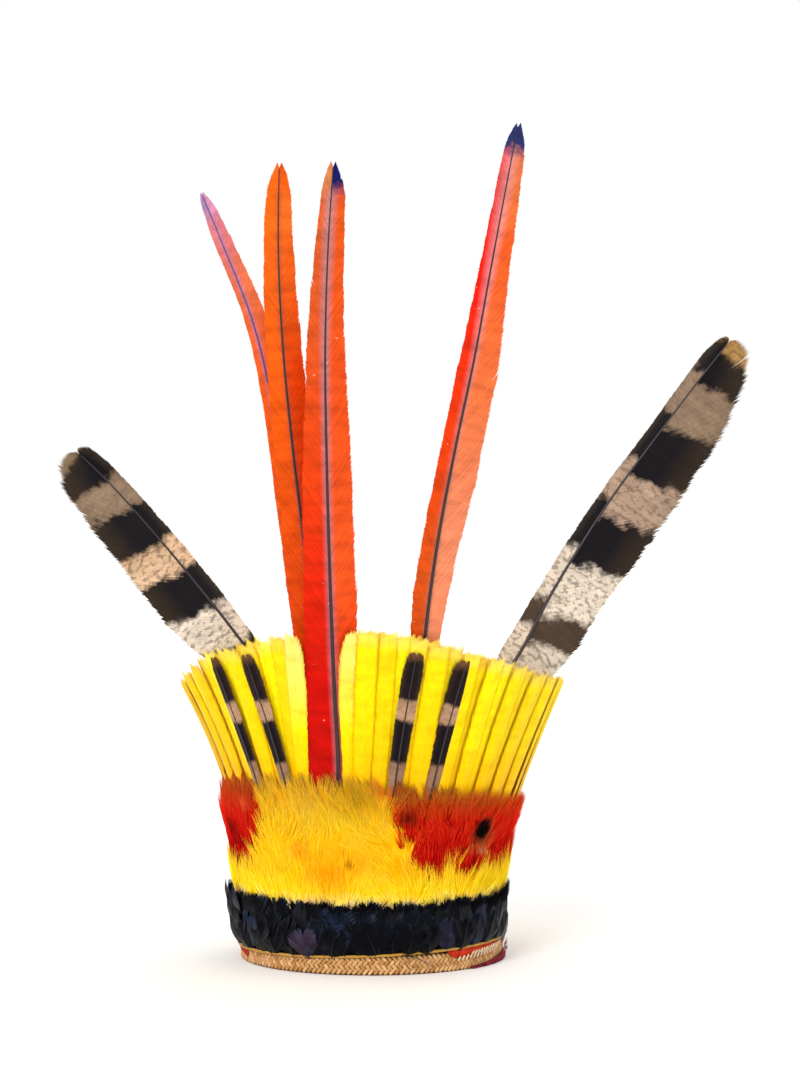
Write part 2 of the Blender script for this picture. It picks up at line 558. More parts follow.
FEATHER_TREE = feather_tree()
FEATHER_SIZES = {
    "Pitch": 1.1 * MM, "Segments": 4, "Blunt": 18.0, "Crowding": 1.9, "Overlap": 1.9,
    "Thickness": 0.28 * MM, "Curl": 0.2, "Droop": 0.08, "Roof": 0.08, "Shingle": 0.16,
    "Split": math.radians(1.2), "Split Length": 16 * MM, "Jitter": math.radians(0.5),
    "Ragged": 0.03,
}


def feathers(name, shafts, vane, quill, seed, **sizes):
    """A piece of one or more feathers, grown along the given shafts."""
    mesh = bpy.data.meshes.new(name + "_shafts")
    rows = [row for one in shafts for row in one]
    edges, first = [], 0
    for one in shafts:
        edges += [(first + i, first + i + 1) for i in range(len(one) - 1)]
        first += len(one)
    mesh.from_pydata([row["at"] for row in rows], edges, [])
    for key in ("run", "length", "left", "right", "angle", "quill", "tone", "across", "face"):
        carry(mesh, key, [row[key] for row in rows])
    inputs = {**FEATHER_SIZES, **sizes, "Seed": seed, "Vane": vane, "Shaft": quill}
    return grown(name, mesh, FEATHER_TREE, inputs)


# The long feathers: the spine as places, the two outlines as (share of the length, width), the way
# the outer face looks, and the share without barbs where it isn't the usual one.
LONG_FEATHERS = {
    "macaw_feather_a": {
        "spine": [(-22, -90, 88), (-21.8, -111.4, 145), (-24, -130.8, 196), (-25.4, -147, 239),
                  (-28, -167, 340), (-29, -174, 426), (-27, -177, 491), (-23.6, -178, 544.5)],
        "left": [(0, 14), (0.06, 19), (0.12, 20.5), (0.2, 19.6), (0.34, 18.6), (0.55, 16.2),
                 (0.75, 11.5), (0.92, 7.4), (0.97, 6), (0.985, 4.2), (1, 1.4)],
        "right": [(0, 6), (0.08, 9), (0.16, 12), (0.34, 17.6), (0.6, 16), (0.82, 11.4),
                  (0.95, 9.2), (0.97, 7), (0.985, 4.6), (1, 1.4)],
        "azimuth": 2, "bare": 0.03,
    },
    "macaw_feather_b": {
        "spine": [(-38.2, -84, 92), (-38.6, -103.5, 150), (-40, -131, 237), (-43.5, -146, 292),
                  (-50.9, -153.8, 357), (-57.5, -158.7, 427), (-60.3, -160.8, 490),
                  (-59.7, -162, 546)],
        "left": [(0, 1.5), (0.1, 1.6), (0.2, 9), (0.38, 16.2), (0.55, 14), (0.72, 12.6), (0.92, 10),
                 (0.96, 8.4), (0.98, 5.6), (1, 1.6)],
        "right": [(0, 1.5), (0.1, 1.6), (0.2, 9), (0.38, 15), (0.6, 14), (0.8, 11.4), (0.95, 8),
                  (0.975, 6), (0.987, 4.2), (1, 1.6)],
        "azimuth": -12,
    },
    "macaw_feather_c": {
        "spine": [(-27.5, -88, 92), (-33, -99.5, 150), (-46, -121, 237), (-55, -133.5, 310),
                  (-64, -140, 380), (-77, -143.5, 440), (-100.5, -144.9, 501),
                  (-112.4, -145.4, 530)],
        "left": [(0, 1.5), (0.12, 1.6), (0.25, 6), (0.6, 7.4), (0.8, 5.4), (0.93, 5), (0.97, 4.2),
                 (0.985, 2.8), (1, 0.2)],
        "right": [(0, 1.5), (0.12, 1.6), (0.25, 6), (0.6, 10), (0.8, 9), (0.93, 6.2), (0.97, 4.8),
                  (0.985, 3), (1, 0.2)],
        "azimuth": -14,
    },
    "macaw_feather_d": {
        "spine": [(29.6, -87.5, 92), (31.5, -108, 150), (36.4, -135.6, 229), (44.6, -149.2, 294),
                  (57, -158.6, 361), (68.8, -163.3, 417), (80.5, -166.9, 481), (92.9, -168.8, 547),
                  (97.8, -169.5, 571.5)],
        "left": [(0, 1.5), (0.1, 1.6), (0.2, 7), (0.35, 11), (0.5, 9.2), (0.66, 9.4), (0.8, 7),
                 (0.93, 6), (0.975, 5), (0.99, 3), (1, 1.2)],
        "right": [(0, 1.5), (0.1, 1.6), (0.2, 7), (0.33, 12.4), (0.5, 19.5), (0.66, 18.4),
                  (0.82, 13), (0.93, 9.6), (0.965, 8), (0.985, 5), (1, 1.6)],
        "azimuth": 12,
    },
    "long_barred_feather_left": {
        "spine": [(-13.5, -91.2, 92), (-38, -84.5, 150), (-62, -78.5, 192), (-87.8, -73.8, 226),
                  (-112.3, -68.8, 257), (-148.3, -62.1, 300), (-185.6, -57.4, 341),
                  (-204.7, -55.5, 359)],
        "left": [(0, 1.8), (0.26, 2), (0.38, 12), (0.48, 30), (0.56, 36), (0.7, 35), (0.84, 33),
                 (0.93, 30), (0.98, 20), (1, 6)],
        "right": [(0, 1.8), (0.22, 2), (0.38, 8), (0.6, 9.8), (0.93, 9), (0.98, 7), (1, 2)],
        "azimuth": -6,
    },
    "long_barred_feather_right": {
        "spine": [(12, -91.3, 92), (44, -84, 150), (70, -71, 182), (97.4, -57.2, 210),
                  (128.6, -47.9, 265), (165.5, -40.7, 323), (205.9, -37.6, 378),
                  (229.3, -35.7, 409), (252, -34.1, 438)],
        "left": [(0, 1.8), (0.2, 2), (0.36, 13), (0.5, 9), (0.8, 7.6), (0.95, 8.8), (0.985, 6),
                 (1, 2)],
        "right": [(0, 1.8), (0.25, 2), (0.35, 24), (0.43, 35), (0.55, 42), (0.7, 44.5), (0.84, 39),
                  (0.94, 29), (0.985, 18), (1, 6)],
        "azimuth": 6,
    },
}

DARK_HORN = horn("dark shaft horn", 0x2A1418, 0x1C1016)
PALE_HORN = horn("pale shaft horn", 0xE8C020, 0xF8DC20)
VIOLET_HORN = horn("violet shaft horn", 0x3A2A50, 0x4A3C78)

MACAW_VANES = {
    "macaw_feather_a": macaw_vane(
        "red tail vane",
        left=[(0.0, 0xB00602), (0.25, 0xCC0C02), (0.42, 0xD82406), (0.6, 0xDA420C),
              (0.9, 0xCE5824)],
        right=[(0.0, 0xB80C02), (0.25, 0xDC3008), (0.4, 0xEA521C), (0.7, 0xE44E16),
               (0.95, 0xDA5414)],
        tip_left=0xC87848, tip_right=0x16195E, bloom=0xA07C84, bloom_share=0.65, bloom_end=0xA88890,
        bloom_mm=2.2, widening=1.3),
    "macaw_feather_b": macaw_vane(
        "orange tail vane",
        left=[(0.0, 0xC83804), (0.4, 0xD64406), (0.65, 0xE45408), (0.95, 0xE86210)],
        right=[(0.0, 0xB82802), (0.45, 0xBC2C02), (0.7, 0xD43C02), (0.95, 0xE8681C)],
        tip_left=0xE86210, tip_right=0xE05810, bloom=0x8A4838, bloom_share=0.5, bloom_end=0x985030),
    "macaw_feather_c": macaw_vane(
        "pink tail vane",
        left=[(0.0, 0xDC4C08), (0.7, 0xE05410), (0.85, 0xE0683A), (0.97, 0xC8707E)],
        right=[(0.0, 0xDC4C08), (0.7, 0xE45C1C), (0.85, 0xE06E46), (0.97, 0xC8707E)],
        tip_left=0xA07CA4, tip_right=0xCC88A8, bloom=0xC08080, bloom_share=0.5, bloom_end=0xB880A0,
        bloom_mm=1.3, widening=1.4),
    "macaw_feather_d": macaw_vane(
        "scarlet tail vane",
        left=[(0.0, 0xC04410), (0.4, 0xCC4C10), (0.58, 0xDC3806), (0.78, 0xE41A02),
              (0.93, 0xD02402)],
        right=[(0.0, 0xE88A64), (0.45, 0xEA865E), (0.62, 0xEC7440), (0.82, 0xEC5A1C),
               (0.93, 0xE8743C)],
        tip_left=0x262E5E, tip_right=0x262E5E, bloom=0x98705C, bloom_share=0.5, bloom_end=0xD8A0A8,
        bloom_mm=2.0, widening=1.9),
}

DARK, TAN, BUFF, CREAM = 0x120E12, 0x8C745E, 0x8A7458, 0xDCCCB8
BARRED_VANES = {
    "long_barred_feather_left": barred_vane("barred wing vane left", [
        (0.0, CREAM), (0.345, CREAM), (0.36, DARK), (0.462, DARK), (0.48, CREAM), (0.56, CREAM),
        (0.575, DARK), (0.66, DARK), (0.675, 0xD8B490), (0.73, 0xC8A480), (0.745, DARK),
        (0.832, DARK), (0.845, TAN), (0.908, TAN), (0.92, DARK), (0.986, DARK), (0.998, BUFF)],
        narrow_shift=-0.008, slope=0.035),
    "long_barred_feather_right": barred_vane("barred wing vane right", [
        (0.0, CREAM), (0.395, CREAM), (0.41, 0x4A3A2E), (0.445, 0x4A3A2E), (0.46, CREAM),
        (0.545, CREAM), (0.556, DARK), (0.638, DARK), (0.652, 0xAC907A), (0.718, 0xAC907A),
        (0.73, DARK), (0.817, DARK), (0.83, TAN), (0.902, TAN), (0.914, DARK), (0.972, DARK),
        (0.988, 0xB08850)],
        narrow_shift=-0.03,
        narrow_side=-1, slope=0.035),
    "short": barred_vane("short barred tail vane", [
        (0.0, 0xA88468), (0.43, 0x9A7458), (0.455, 0x120A10), (0.65, 0x120A10), (0.67, 0xB89070),
        (0.755, 0xB89070), (0.775, 0x1C0F12), (0.95, 0x1C0F12), (1.0, 0x7A5030)], pepper=0.2),
}


def long_feathers():
    """The long red and barred feathers that stand out of the tall row."""
    for number, (name, facts) in enumerate(LONG_FEATHERS.items()):
        points = [spot(*p) for p in facts["spine"]]
        barred = "barred" in name
        one = shaft(points, facts["left"], facts["right"], outward(facts["azimuth"]),
                    angle=(56, 6) if barred else (38, 24),
                    quill=(1.9, 0.45) if barred else (1.7, 0.4),
                    tone=0.2 + 0.1 * number, bare=0.3 if barred else facts.get("bare", 0.1),
                    short=3, turning=0.6 if barred else 0.9)
        if barred:
            vane = BARRED_VANES[name]
            horn_of_it = DARK_HORN
            extra = {"Split": math.radians(0.75), "Split Length": 26 * MM, "Ragged": 0.04,
                     "Curl": 0.26, "Jitter": math.radians(0.2), "Blunt": 24.0, "Overlap": 2.3}
        else:
            vane = MACAW_VANES[name]
            horn_of_it = VIOLET_HORN if name.endswith("c") else DARK_HORN
            extra = {}
        piece = feathers(name + "_barbs", [one], vane, horn_of_it, seed=11 + number, **extra)
        finished(piece, "barred_feathers" if barred else "red_feathers", name)


def row_radius(height):
    """The radius of the tall row's cone at a height."""
    return ROW["radius"] + ROW["lean"] * (height - ROW["height"])


def row_line(azimuth, layer, foot, tip, fan, bow=1.0):
    """The line of a feather of the tall row: it leans out, fans sideways and bows a little."""
    inset = ROW["blade"] / 2 + layer
    line = []
    for share in (0, 0.35, 0.7, 1):
        height = foot + (tip - foot) * share
        swell = bow * math.sin(math.pi * share)
        line.append(polar(row_radius(height) - inset - swell, azimuth + fan * share, height))
    return line


def row_place(azimuth):
    """Where a feather of the row has its foot, and how far round its tip fans out from it. The row
    is parted for the longest red feather, and stands upright on both sides of the parting."""
    azimuth = around(azimuth)
    beside = math.exp(-abs(azimuth - GAP_AZIMUTH) / 8)
    fan = FAN * math.sin(math.radians(azimuth - GAP_AZIMUTH))
    shift, turn = (-13, 3) if azimuth < GAP_AZIMUTH else (-5, 5)
    return azimuth + shift * beside, fan + (turn - shift) * beside


# The short barred feathers by their slots: height of the tip, fan, half width. The runs are the
# slots of each piece of the row, behind are more feathers that show between those of a run, and
# the feathers beside the parting are rounded on its side and paler, as (side, tone).
SHORT_BARRED = {-10: (217, -5.2, 5.4), -7: (220, -6, 5.8), 1: (222, 5.4, 7.0), 4: (216, 6.2, 7.4)}
RUNS = [(-9, -8), (-6, -5), (-2, 0), (2, 3)] + [(i, min(i + 7, 69)) for i in range(5, 70, 8)]
BEHIND = {0: [-10, -10.5, -7.5], 1: [-7], 2: [1, 0.5], 3: [1.5, 4, 3.5], 4: [4.5]}
BESIDE_PARTING = {-5: ("right", -0.3), -2: ("left", -0.25)}
FILLED_TO = 110


def yellow_feathers():
    """The tall row of trimmed yellow feathers, run by run."""
    vane = yellow_vane()
    dice = random.Random(41)
    for number, (first, last) in enumerate(RUNS):
        row = [(slot, ROW["layer"] if slot % 2 == 0 else 0) for slot in range(first, last + 1)]
        row += [(slot + 0.5, ROW["layer"] + 1.4) for slot in range(first, last)
                if abs(around(SLOT * slot)) < FILLED_TO]
        row += [(slot, ROW["layer"] + 2.2) for slot in BEHIND.get(number, [])]
        shafts = []
        for slot, layer in row:
            azimuth, fan = row_place(SLOT * (slot + 0.5) + dice.uniform(-0.6, 0.6))
            tip = between(TIP_HEIGHTS, around(azimuth + fan)) + dice.uniform(-1.6, 1.4)
            half = dice.uniform(6.8, 8.2)
            slant = dice.uniform(-0.9, 0.9)
            outline = [(0, 3.5), (0.5, half * 0.92), (0.8, half), (0.94, half), (0.98, half * 0.97)]
            sides = {"left": outline + [(1, half * 0.8 + slant)],
                     "right": outline + [(1, half * 0.8 - slant)]}
            # The feathers are more golden towards the sides of the crown.
            if around(azimuth) < 0:
                gold = 0.6 * min(1, -around(azimuth) / 75) ** 2
            else:
                gold = 0.4 * min(1, azimuth / 85) ** 3
            tone = 0.45 * dice.random() + gold
            if slot in BESIDE_PARTING:
                side, tone = BESIDE_PARTING[slot]
                sides[side] = [(0, 2.5), (0.4, 4), (0.7, half), (0.86, half), (0.94, half * 0.8),
                               (0.98, half * 0.5), (1, 1.5)]
            bow = 1 + 3.5 * max(0, -math.sin(math.radians(azimuth)))
            shafts.append(shaft(
                row_line(azimuth, layer, ROW["foot"], tip, fan, bow), sides["left"], sides["right"],
                outward(azimuth + fan * 0.75 + dice.uniform(-8, 8)), angle=(24, 5),
                quill=(0.22, 0.1), tone=tone, gap=6, bare=0.06, short=2.0, turning=0.8))
        piece = feathers(f"yellow_row_{number + 1:02d}", shafts, vane, PALE_HORN, 50 + number, **{
            "Pitch": 1.9 * MM, "Segments": 2, "Crowding": 1.5, "Overlap": 2.4, "Droop": 0.05,
            "Roof": 0.03, "Ragged": 0.08, "Split": math.radians(0.5), "Thickness": 0.22 * MM})
        finished(piece, "yellow_feathers", f"yellow_feathers_{number + 1:02d}")


def short_barred_feathers():
    """The four dark and tan feathers that stand in the tall row."""
    for number, (slot, (tip, fan, half)) in enumerate(SHORT_BARRED.items()):
        azimuth = SLOT * (slot + 0.5)
        outline = [(0, 1.2), (0.1, 3), (0.4, half * 0.78), (0.6, half * 0.9), (0.9, half),
                   (0.97, half * 0.8), (1, 2.4)]
        one = shaft(row_line(azimuth, -0.4, ROW["foot"], tip, fan), outline, outline,
                    outward(azimuth),
                    angle=(34, 14), quill=(0.9, 0.35), tone=0.1 + 0.2 * number, bare=0.1, short=3)
        piece = feathers(f"short_barred_{number + 1}", [one], BARRED_VANES["short"], DARK_HORN,
                         seed=30 + number,
                         **{"Pitch": 1.2 * MM, "Segments": 2, "Crowding": 2.6, "Ragged": 0.05})
        finished(piece, "barred_feathers", f"short_barred_feather_{number + 1}")


# Plumage ------------------------------------------------------------------------------------

def plumage_tree():
    """Tufts of fine barbs grown all over the bed's outward faces. The bed's points say how long
    they grow there and which way they sweep: 0 is upwards, and more is towards the right."""
    tree, given = new_tree("plumage", {
        "Gap": "Float", "Strands": "Int", "Length": "Float", "Width": "Float", "Thickness": "Float",
        "Spread": "Float", "Fan": "Float", "Swirl": "Float", "Lift": "Float", "Settle": "Float",
        "Wave": "Float", "Seed": "Int", "Without Bed": "Bool", "Hair": "Material",
    })
    barb = spike(tree, 2, 1.8)
    grow, outer, sweep, turned, flat = (
        add(tree, NAMED, {"Name": name}) for name in ("grow", "outer", "sweep", "head", "flat"))
    long_enough = add(tree, "FunctionNodeCompare", {0: grow, 1: 0.05}, operation="GREATER_THAN")
    facing = add(tree, "FunctionNodeCompare", {0: outer, 1: 0.5}, operation="GREATER_THAN")
    where = add(tree, "FunctionNodeBooleanMath", {0: long_enough, 1: facing}, operation="AND")
    spots = add(tree, "GeometryNodeDistributePointsOnFaces", {
        "Mesh": given["Geometry"], "Selection": where, "Distance Min": given["Gap"],
        "Density Max": 4e5, "Seed": given["Seed"]}, distribute_method="POISSON",
        use_legacy_normal=True)
    place = add(tree, "GeometryNodeInputPosition")
    swirls = add(tree, NOISE, {"Vector": place, "Scale": 1 / (28 * MM), "Detail": 1})
    swirl = add(tree, RANGE, {"Value": swirls, 1: 0.3, 2: 0.7, 3: -1.0, 4: 1.0})
    each = add(tree, RANDOM, {2: -1.0, 3: 1.0, 8: given["Seed"]})
    head = add(tree, MATH, {0: swirl, 1: given["Swirl"], 2: sweep}, operation="MULTIPLY_ADD")
    head = add(tree, MATH, {0: each, 1: given["Spread"], 2: head}, operation="MULTIPLY_ADD")
    other_seed = add(tree, MATH, {0: given["Seed"], 1: 3.0})
    curve = add(tree, RANDOM, {2: -1.0, 3: 1.0, 8: other_seed})
    tufts = add(tree, STORE, {"Geometry": spots.outputs["Points"], "Name": "out",
                              "Value": spots.outputs["Normal"]}, data_type="FLOAT_VECTOR")
    tufts = add(tree, STORE, {"Geometry": tufts, "Name": "head", "Value": head})
    tufts = add(tree, STORE, {"Geometry": tufts, "Name": "curve", "Value": curve})
    many = add(tree, "GeometryNodeDuplicateElements",
               {"Geometry": tufts, "Amount": given["Strands"]}, domain="POINT")
    half = add(tree, MATH, {0: given["Gap"], 1: 0.6}, operation="MULTIPLY")
    back = add(tree, MATH, {0: half, 1: -1.0}, operation="MULTIPLY")
    jog = add(tree, RANDOM, {0: back, 1: half, 8: 5}, data_type="FLOAT_VECTOR")
    out = add(tree, NAMED, {"Name": "out"}, data_type="FLOAT_VECTOR")
    off_bed = add(tree, VECTOR, {0: jog, 1: out}, operation="PROJECT")
    jog = add(tree, VECTOR, {0: jog, 1: off_bed}, operation="SUBTRACT")
    loose = add(tree, SHIFT, {"Geometry": many.outputs["Geometry"], "Offset": jog})
    right = add(tree, VECTOR, {0: (0, 0, 1), 1: out}, operation="CROSS_PRODUCT")
    right = add(tree, VECTOR, {0: right}, operation="NORMALIZE")
    up = add(tree, VECTOR, {0: out, 1: right}, operation="CROSS_PRODUCT")
    off = add(tree, RANDOM, {2: -1.0, 3: 1.0, 8: 7})
    turn = add(tree, MATH, {0: off, 1: given["Fan"], 2: turned}, operation="MULTIPLY_ADD")
    cosine = add(tree, MATH, {0: turn}, operation="COSINE")
    sine = add(tree, MATH, {0: turn}, operation="SINE")
    upward = add(tree, VECTOR, {0: up, "Scale": cosine}, operation="SCALE")
    sideways = add(tree, VECTOR, {0: right, "Scale": sine}, operation="SCALE")
    rise = add(tree, RANDOM, {2: 0.35, 3: 1.0, 8: 9})
    rise = add(tree, MATH, {0: rise, 1: given["Lift"]}, operation="MULTIPLY")
    loose_end = add(tree, MATH, {0: 1.0, 1: flat}, operation="SUBTRACT")
    rise = add(tree, MATH, {0: rise, 1: loose_end}, operation="MULTIPLY")
    lifted = add(tree, VECTOR, {0: out, "Scale": rise}, operation="SCALE")
    way = add(tree, VECTOR, {0: upward, 1: sideways}, operation="ADD")
    way = add(tree, VECTOR, {0: way, 1: lifted}, operation="ADD")
    spin = add(tree, "FunctionNodeAxesToRotation", {0: way, 1: out}, primary_axis="X",
               secondary_axis="Z")
    uneven = add(tree, RANDOM, {2: 0.6, 3: 1.1, 8: 11})
    reach = add(tree, MATH, {0: uneven, 1: given["Length"]}, operation="MULTIPLY")
    reach = add(tree, MATH, {0: reach, 1: grow}, operation="MULTIPLY")
    strand = add(tree, RANDOM, {2: 0.0, 3: 1.0, 8: 13})
    size = add(tree, COMBINE, {0: reach, 1: given["Width"], 2: given["Thickness"]})
    ready = add(tree, STORE, {"Geometry": loose, "Name": "reach", "Value": reach})
    ready = add(tree, STORE, {"Geometry": ready, "Name": "strand", "Value": strand})
    grown_hair = add(tree, "GeometryNodeInstanceOnPoints", {
        "Points": ready, "Instance": barb, "Rotation": spin, "Scale": size})
    hair = add(tree, "GeometryNodeRealizeInstances", {0: grown_hair})
    # Each barb settles back onto the plumage and waves to one side with its tuft.
    u, reach, curve = (add(tree, NAMED, {"Name": name}) for name in ("u", "reach", "curve"))
    bend = add(tree, MATH, {0: u, 1: u}, operation="MULTIPLY")
    bend = add(tree, MATH, {0: bend, 1: reach}, operation="MULTIPLY")
    settle = add(tree, MATH, {0: bend, 1: given["Settle"]}, operation="MULTIPLY")
    settle = add(tree, VECTOR, {0: out, "Scale": settle}, operation="SCALE")
    wave = add(tree, MATH, {0: bend, 1: given["Wave"]}, operation="MULTIPLY")
    wave = add(tree, MATH, {0: wave, 1: curve}, operation="MULTIPLY")
    wave = add(tree, VECTOR, {0: right, "Scale": wave}, operation="SCALE")
    move = add(tree, VECTOR, {0: wave, 1: settle}, operation="SUBTRACT")
    hair = add(tree, SHIFT, {"Geometry": hair, "Offset": move})
    # The bed between the barbs has the colour of their lower parts.
    bed = add(tree, STORE, {"Geometry": given["Geometry"], "Name": "u", "Value": 0.2})
    bed = add(tree, STORE, {"Geometry": bed, "Name": "strand", "Value": 0.4})
    bed = add(tree, "GeometryNodeDeleteGeometry",
              {"Geometry": bed, "Selection": given["Without Bed"]})
    whole = add(tree, "GeometryNodeJoinGeometry", {0: hair})
    tree.links.new(bed.outputs[0], whole.inputs[0])
    whole = add(tree, "GeometryNodeRealizeInstances", {0: whole})
    whole = add(tree, STORE, {"Geometry": whole, "Name": "lay", "Value": flat_place(tree)},
                data_type="FLOAT_VECTOR")
    dressed = add(tree, "GeometryNodeSetMaterial", {"Geometry": whole, "Material": given["Hair"]})
    add(tree, "NodeGroupOutput", {0: dressed})
    return tree


# The radius, in millimetres, that the way round is measured at when the crown is laid out flat.
UNROLLED_RADIUS = 100


def flat_place(tree):
    """Where a point lies on the crown laid out flat: along X the way round from the front, along Y
    the height, both in metres."""
    place = add(tree, "GeometryNodeInputPosition")
    place = add(tree, VECTOR, {0: place, 1: tuple(AXIS)}, operation="SUBTRACT")
    at = add(tree, SEPARATE, {0: place})
    ahead = add(tree, MATH, {0: at.outputs["Y"], 1: -1.0}, operation="MULTIPLY")
    turn = add(tree, MATH, {0: at.outputs["X"], 1: ahead}, operation="ARCTAN2")
    way_round = add(tree, MATH, {0: turn, 1: UNROLLED_RADIUS * MM}, operation="MULTIPLY")
    return add(tree, COMBINE, {0: way_round, 1: at.outputs["Z"]})


def shell(name, profile, azimuths, outer=(), **rules):
    """A closed skin whose section at each azimuth is a loop of (radius, height), which goes up its
    outer side first. It is a ring where the azimuths go all the way round, and otherwise its ends
    are closed. Outer numbers the sides of the loop where plumage grows, and each rule gives its
    points a value by azimuth and height."""
    ring = azimuths[-1] - azimuths[0] > 359.9
    turns = azimuths[:-1] if ring else azimuths
    loops = [profile(azimuth) for azimuth in turns]
    count = len(loops[0])
    mesh = bpy.data.meshes.new(name)
    faces, marks = [], []
    for i in range(len(loops) if ring else len(loops) - 1):
        here, there = i * count, (i + 1) % len(loops) * count
        for j in range(count):
            k = (j + 1) % count
            faces.append((here + j, there + j, there + k, here + k))
            marks.append(1.0 if j in outer else 0.0)
    if not ring:
        last = (len(loops) - 1) * count
        faces += [tuple(range(count)), tuple(last + j for j in reversed(range(count)))]
        marks += [0.0, 0.0]
    points = [polar(r, azimuth, z) for azimuth, loop in zip(turns, loops) for r, z in loop]
    mesh.from_pydata(points, [], faces)
    carry(mesh, "outer", marks, "FACE")
    for key, rule in rules.items():
        carry(mesh, key, [rule(azimuth, z) for azimuth, loop in zip(turns, loops) for r, z in loop])
    mesh.polygons.foreach_set("use_smooth", [True] * len(faces))
    return mesh


# The plumage's upper edge as (azimuth, height), how far it stands off by its share of the height,
# how much further it does so on the left, and the height that the share starts from.
PLUMAGE_TOPS = [
    (-180, 126), (-90, 128), (-30, 138), (0, 136), (12, 132), (30, 127), (60, 120), (90, 114),
    (180, 126),
]
PLUMAGE_DEPTHS = [(-0.1, 3.4), (0, 4.2), (0.2, 5.4), (0.35, 5.8), (0.5, 4.8), (0.65, 3.8),
                  (0.8, 2.8), (1, 1.6)]
PLUMAGE_FLARE = [(0, 3.5), (0.3, 4.2), (0.6, 3), (0.8, -1.5), (1, -5)]
PLUMAGE_FACE = 54.5


def plumage_radius(share, azimuth):
    """The radius and the height of the plumage's outside at a share of its height."""
    height = PLUMAGE_FACE + (between(PLUMAGE_TOPS, azimuth) - PLUMAGE_FACE) * share
    left = max(0, -math.sin(math.radians(azimuth))) ** 2
    flare = left * between(PLUMAGE_FLARE, share)
    radius = max(ROW["radius"], row_radius(height)) + 0.5 + between(PLUMAGE_DEPTHS, share) + flare
    return radius, height


def bed_profile(first, last, depth):
    """The loop of a bed of plumage between two shares of its height, set in by some depth."""
    def profile(azimuth):
        azimuth = around(azimuth)
        start = first - 0.1 * max(0, math.cos(math.radians(azimuth))) if first < 0 else first
        outside = []
        for i in range(7):
            radius, height = plumage_radius(start + (last - start) * i / 6, azimuth)
            outside.append((radius - depth, height))
        inside = [(min(max(ROW["radius"], row_radius(z)) + 0.1, r - 0.8), z)
                  for r, z in reversed(outside)]
        return outside + inside
    return profile


# The red patches' lower edges as (azimuth, height), their sides as (height, azimuth), and how far
# apart two places a degree from each other lie on them.
MM_PER_DEGREE = 1.7
RED_EDGES = {
    "right_foot": [(17.5, 69), (25, 64), (32, 67), (50, 67), (71, 65), (100, 71)],
    "right_side": [(58, 19), (68, 17.5), (80, 15.5), (92, 12), (104, 8.5), (118, 7)],
    "left_foot": [(-110, 65), (-60, 64), (-46, 70)],
    "left_side": [(68, -57), (80, -50), (92, -44), (108, -46), (125, -51)],
}


def hair_length(azimuth, height):
    """How long the plumage is, as a share of its full length: short enough to end at its top."""
    return max(0.3, min(1.0, (between(PLUMAGE_TOPS, azimuth) + 3 - height) / 20))


def in_red(azimuth, height):
    """How far inside a red patch a place lies, in mm; below 0 it is outside."""
    azimuth = around(azimuth)
    wave = 1.8 * math.sin(azimuth * 0.31) + 1.2 * math.sin(azimuth * 0.83 + height * 0.2)
    back = 95 + 3 * math.sin(0.25 * height) + 2 * math.sin(0.7 * height)
    right = min(height - between(RED_EDGES["right_foot"], azimuth),
                (back - azimuth) * MM_PER_DEGREE,
                (azimuth - between(RED_EDGES["right_side"], height)) * MM_PER_DEGREE)
    left = min(height - between(RED_EDGES["left_foot"], azimuth),
               (azimuth + 104) * MM_PER_DEGREE,
               (between(RED_EDGES["left_side"], height) - azimuth) * MM_PER_DEGREE)
    return max(right, left) + wave


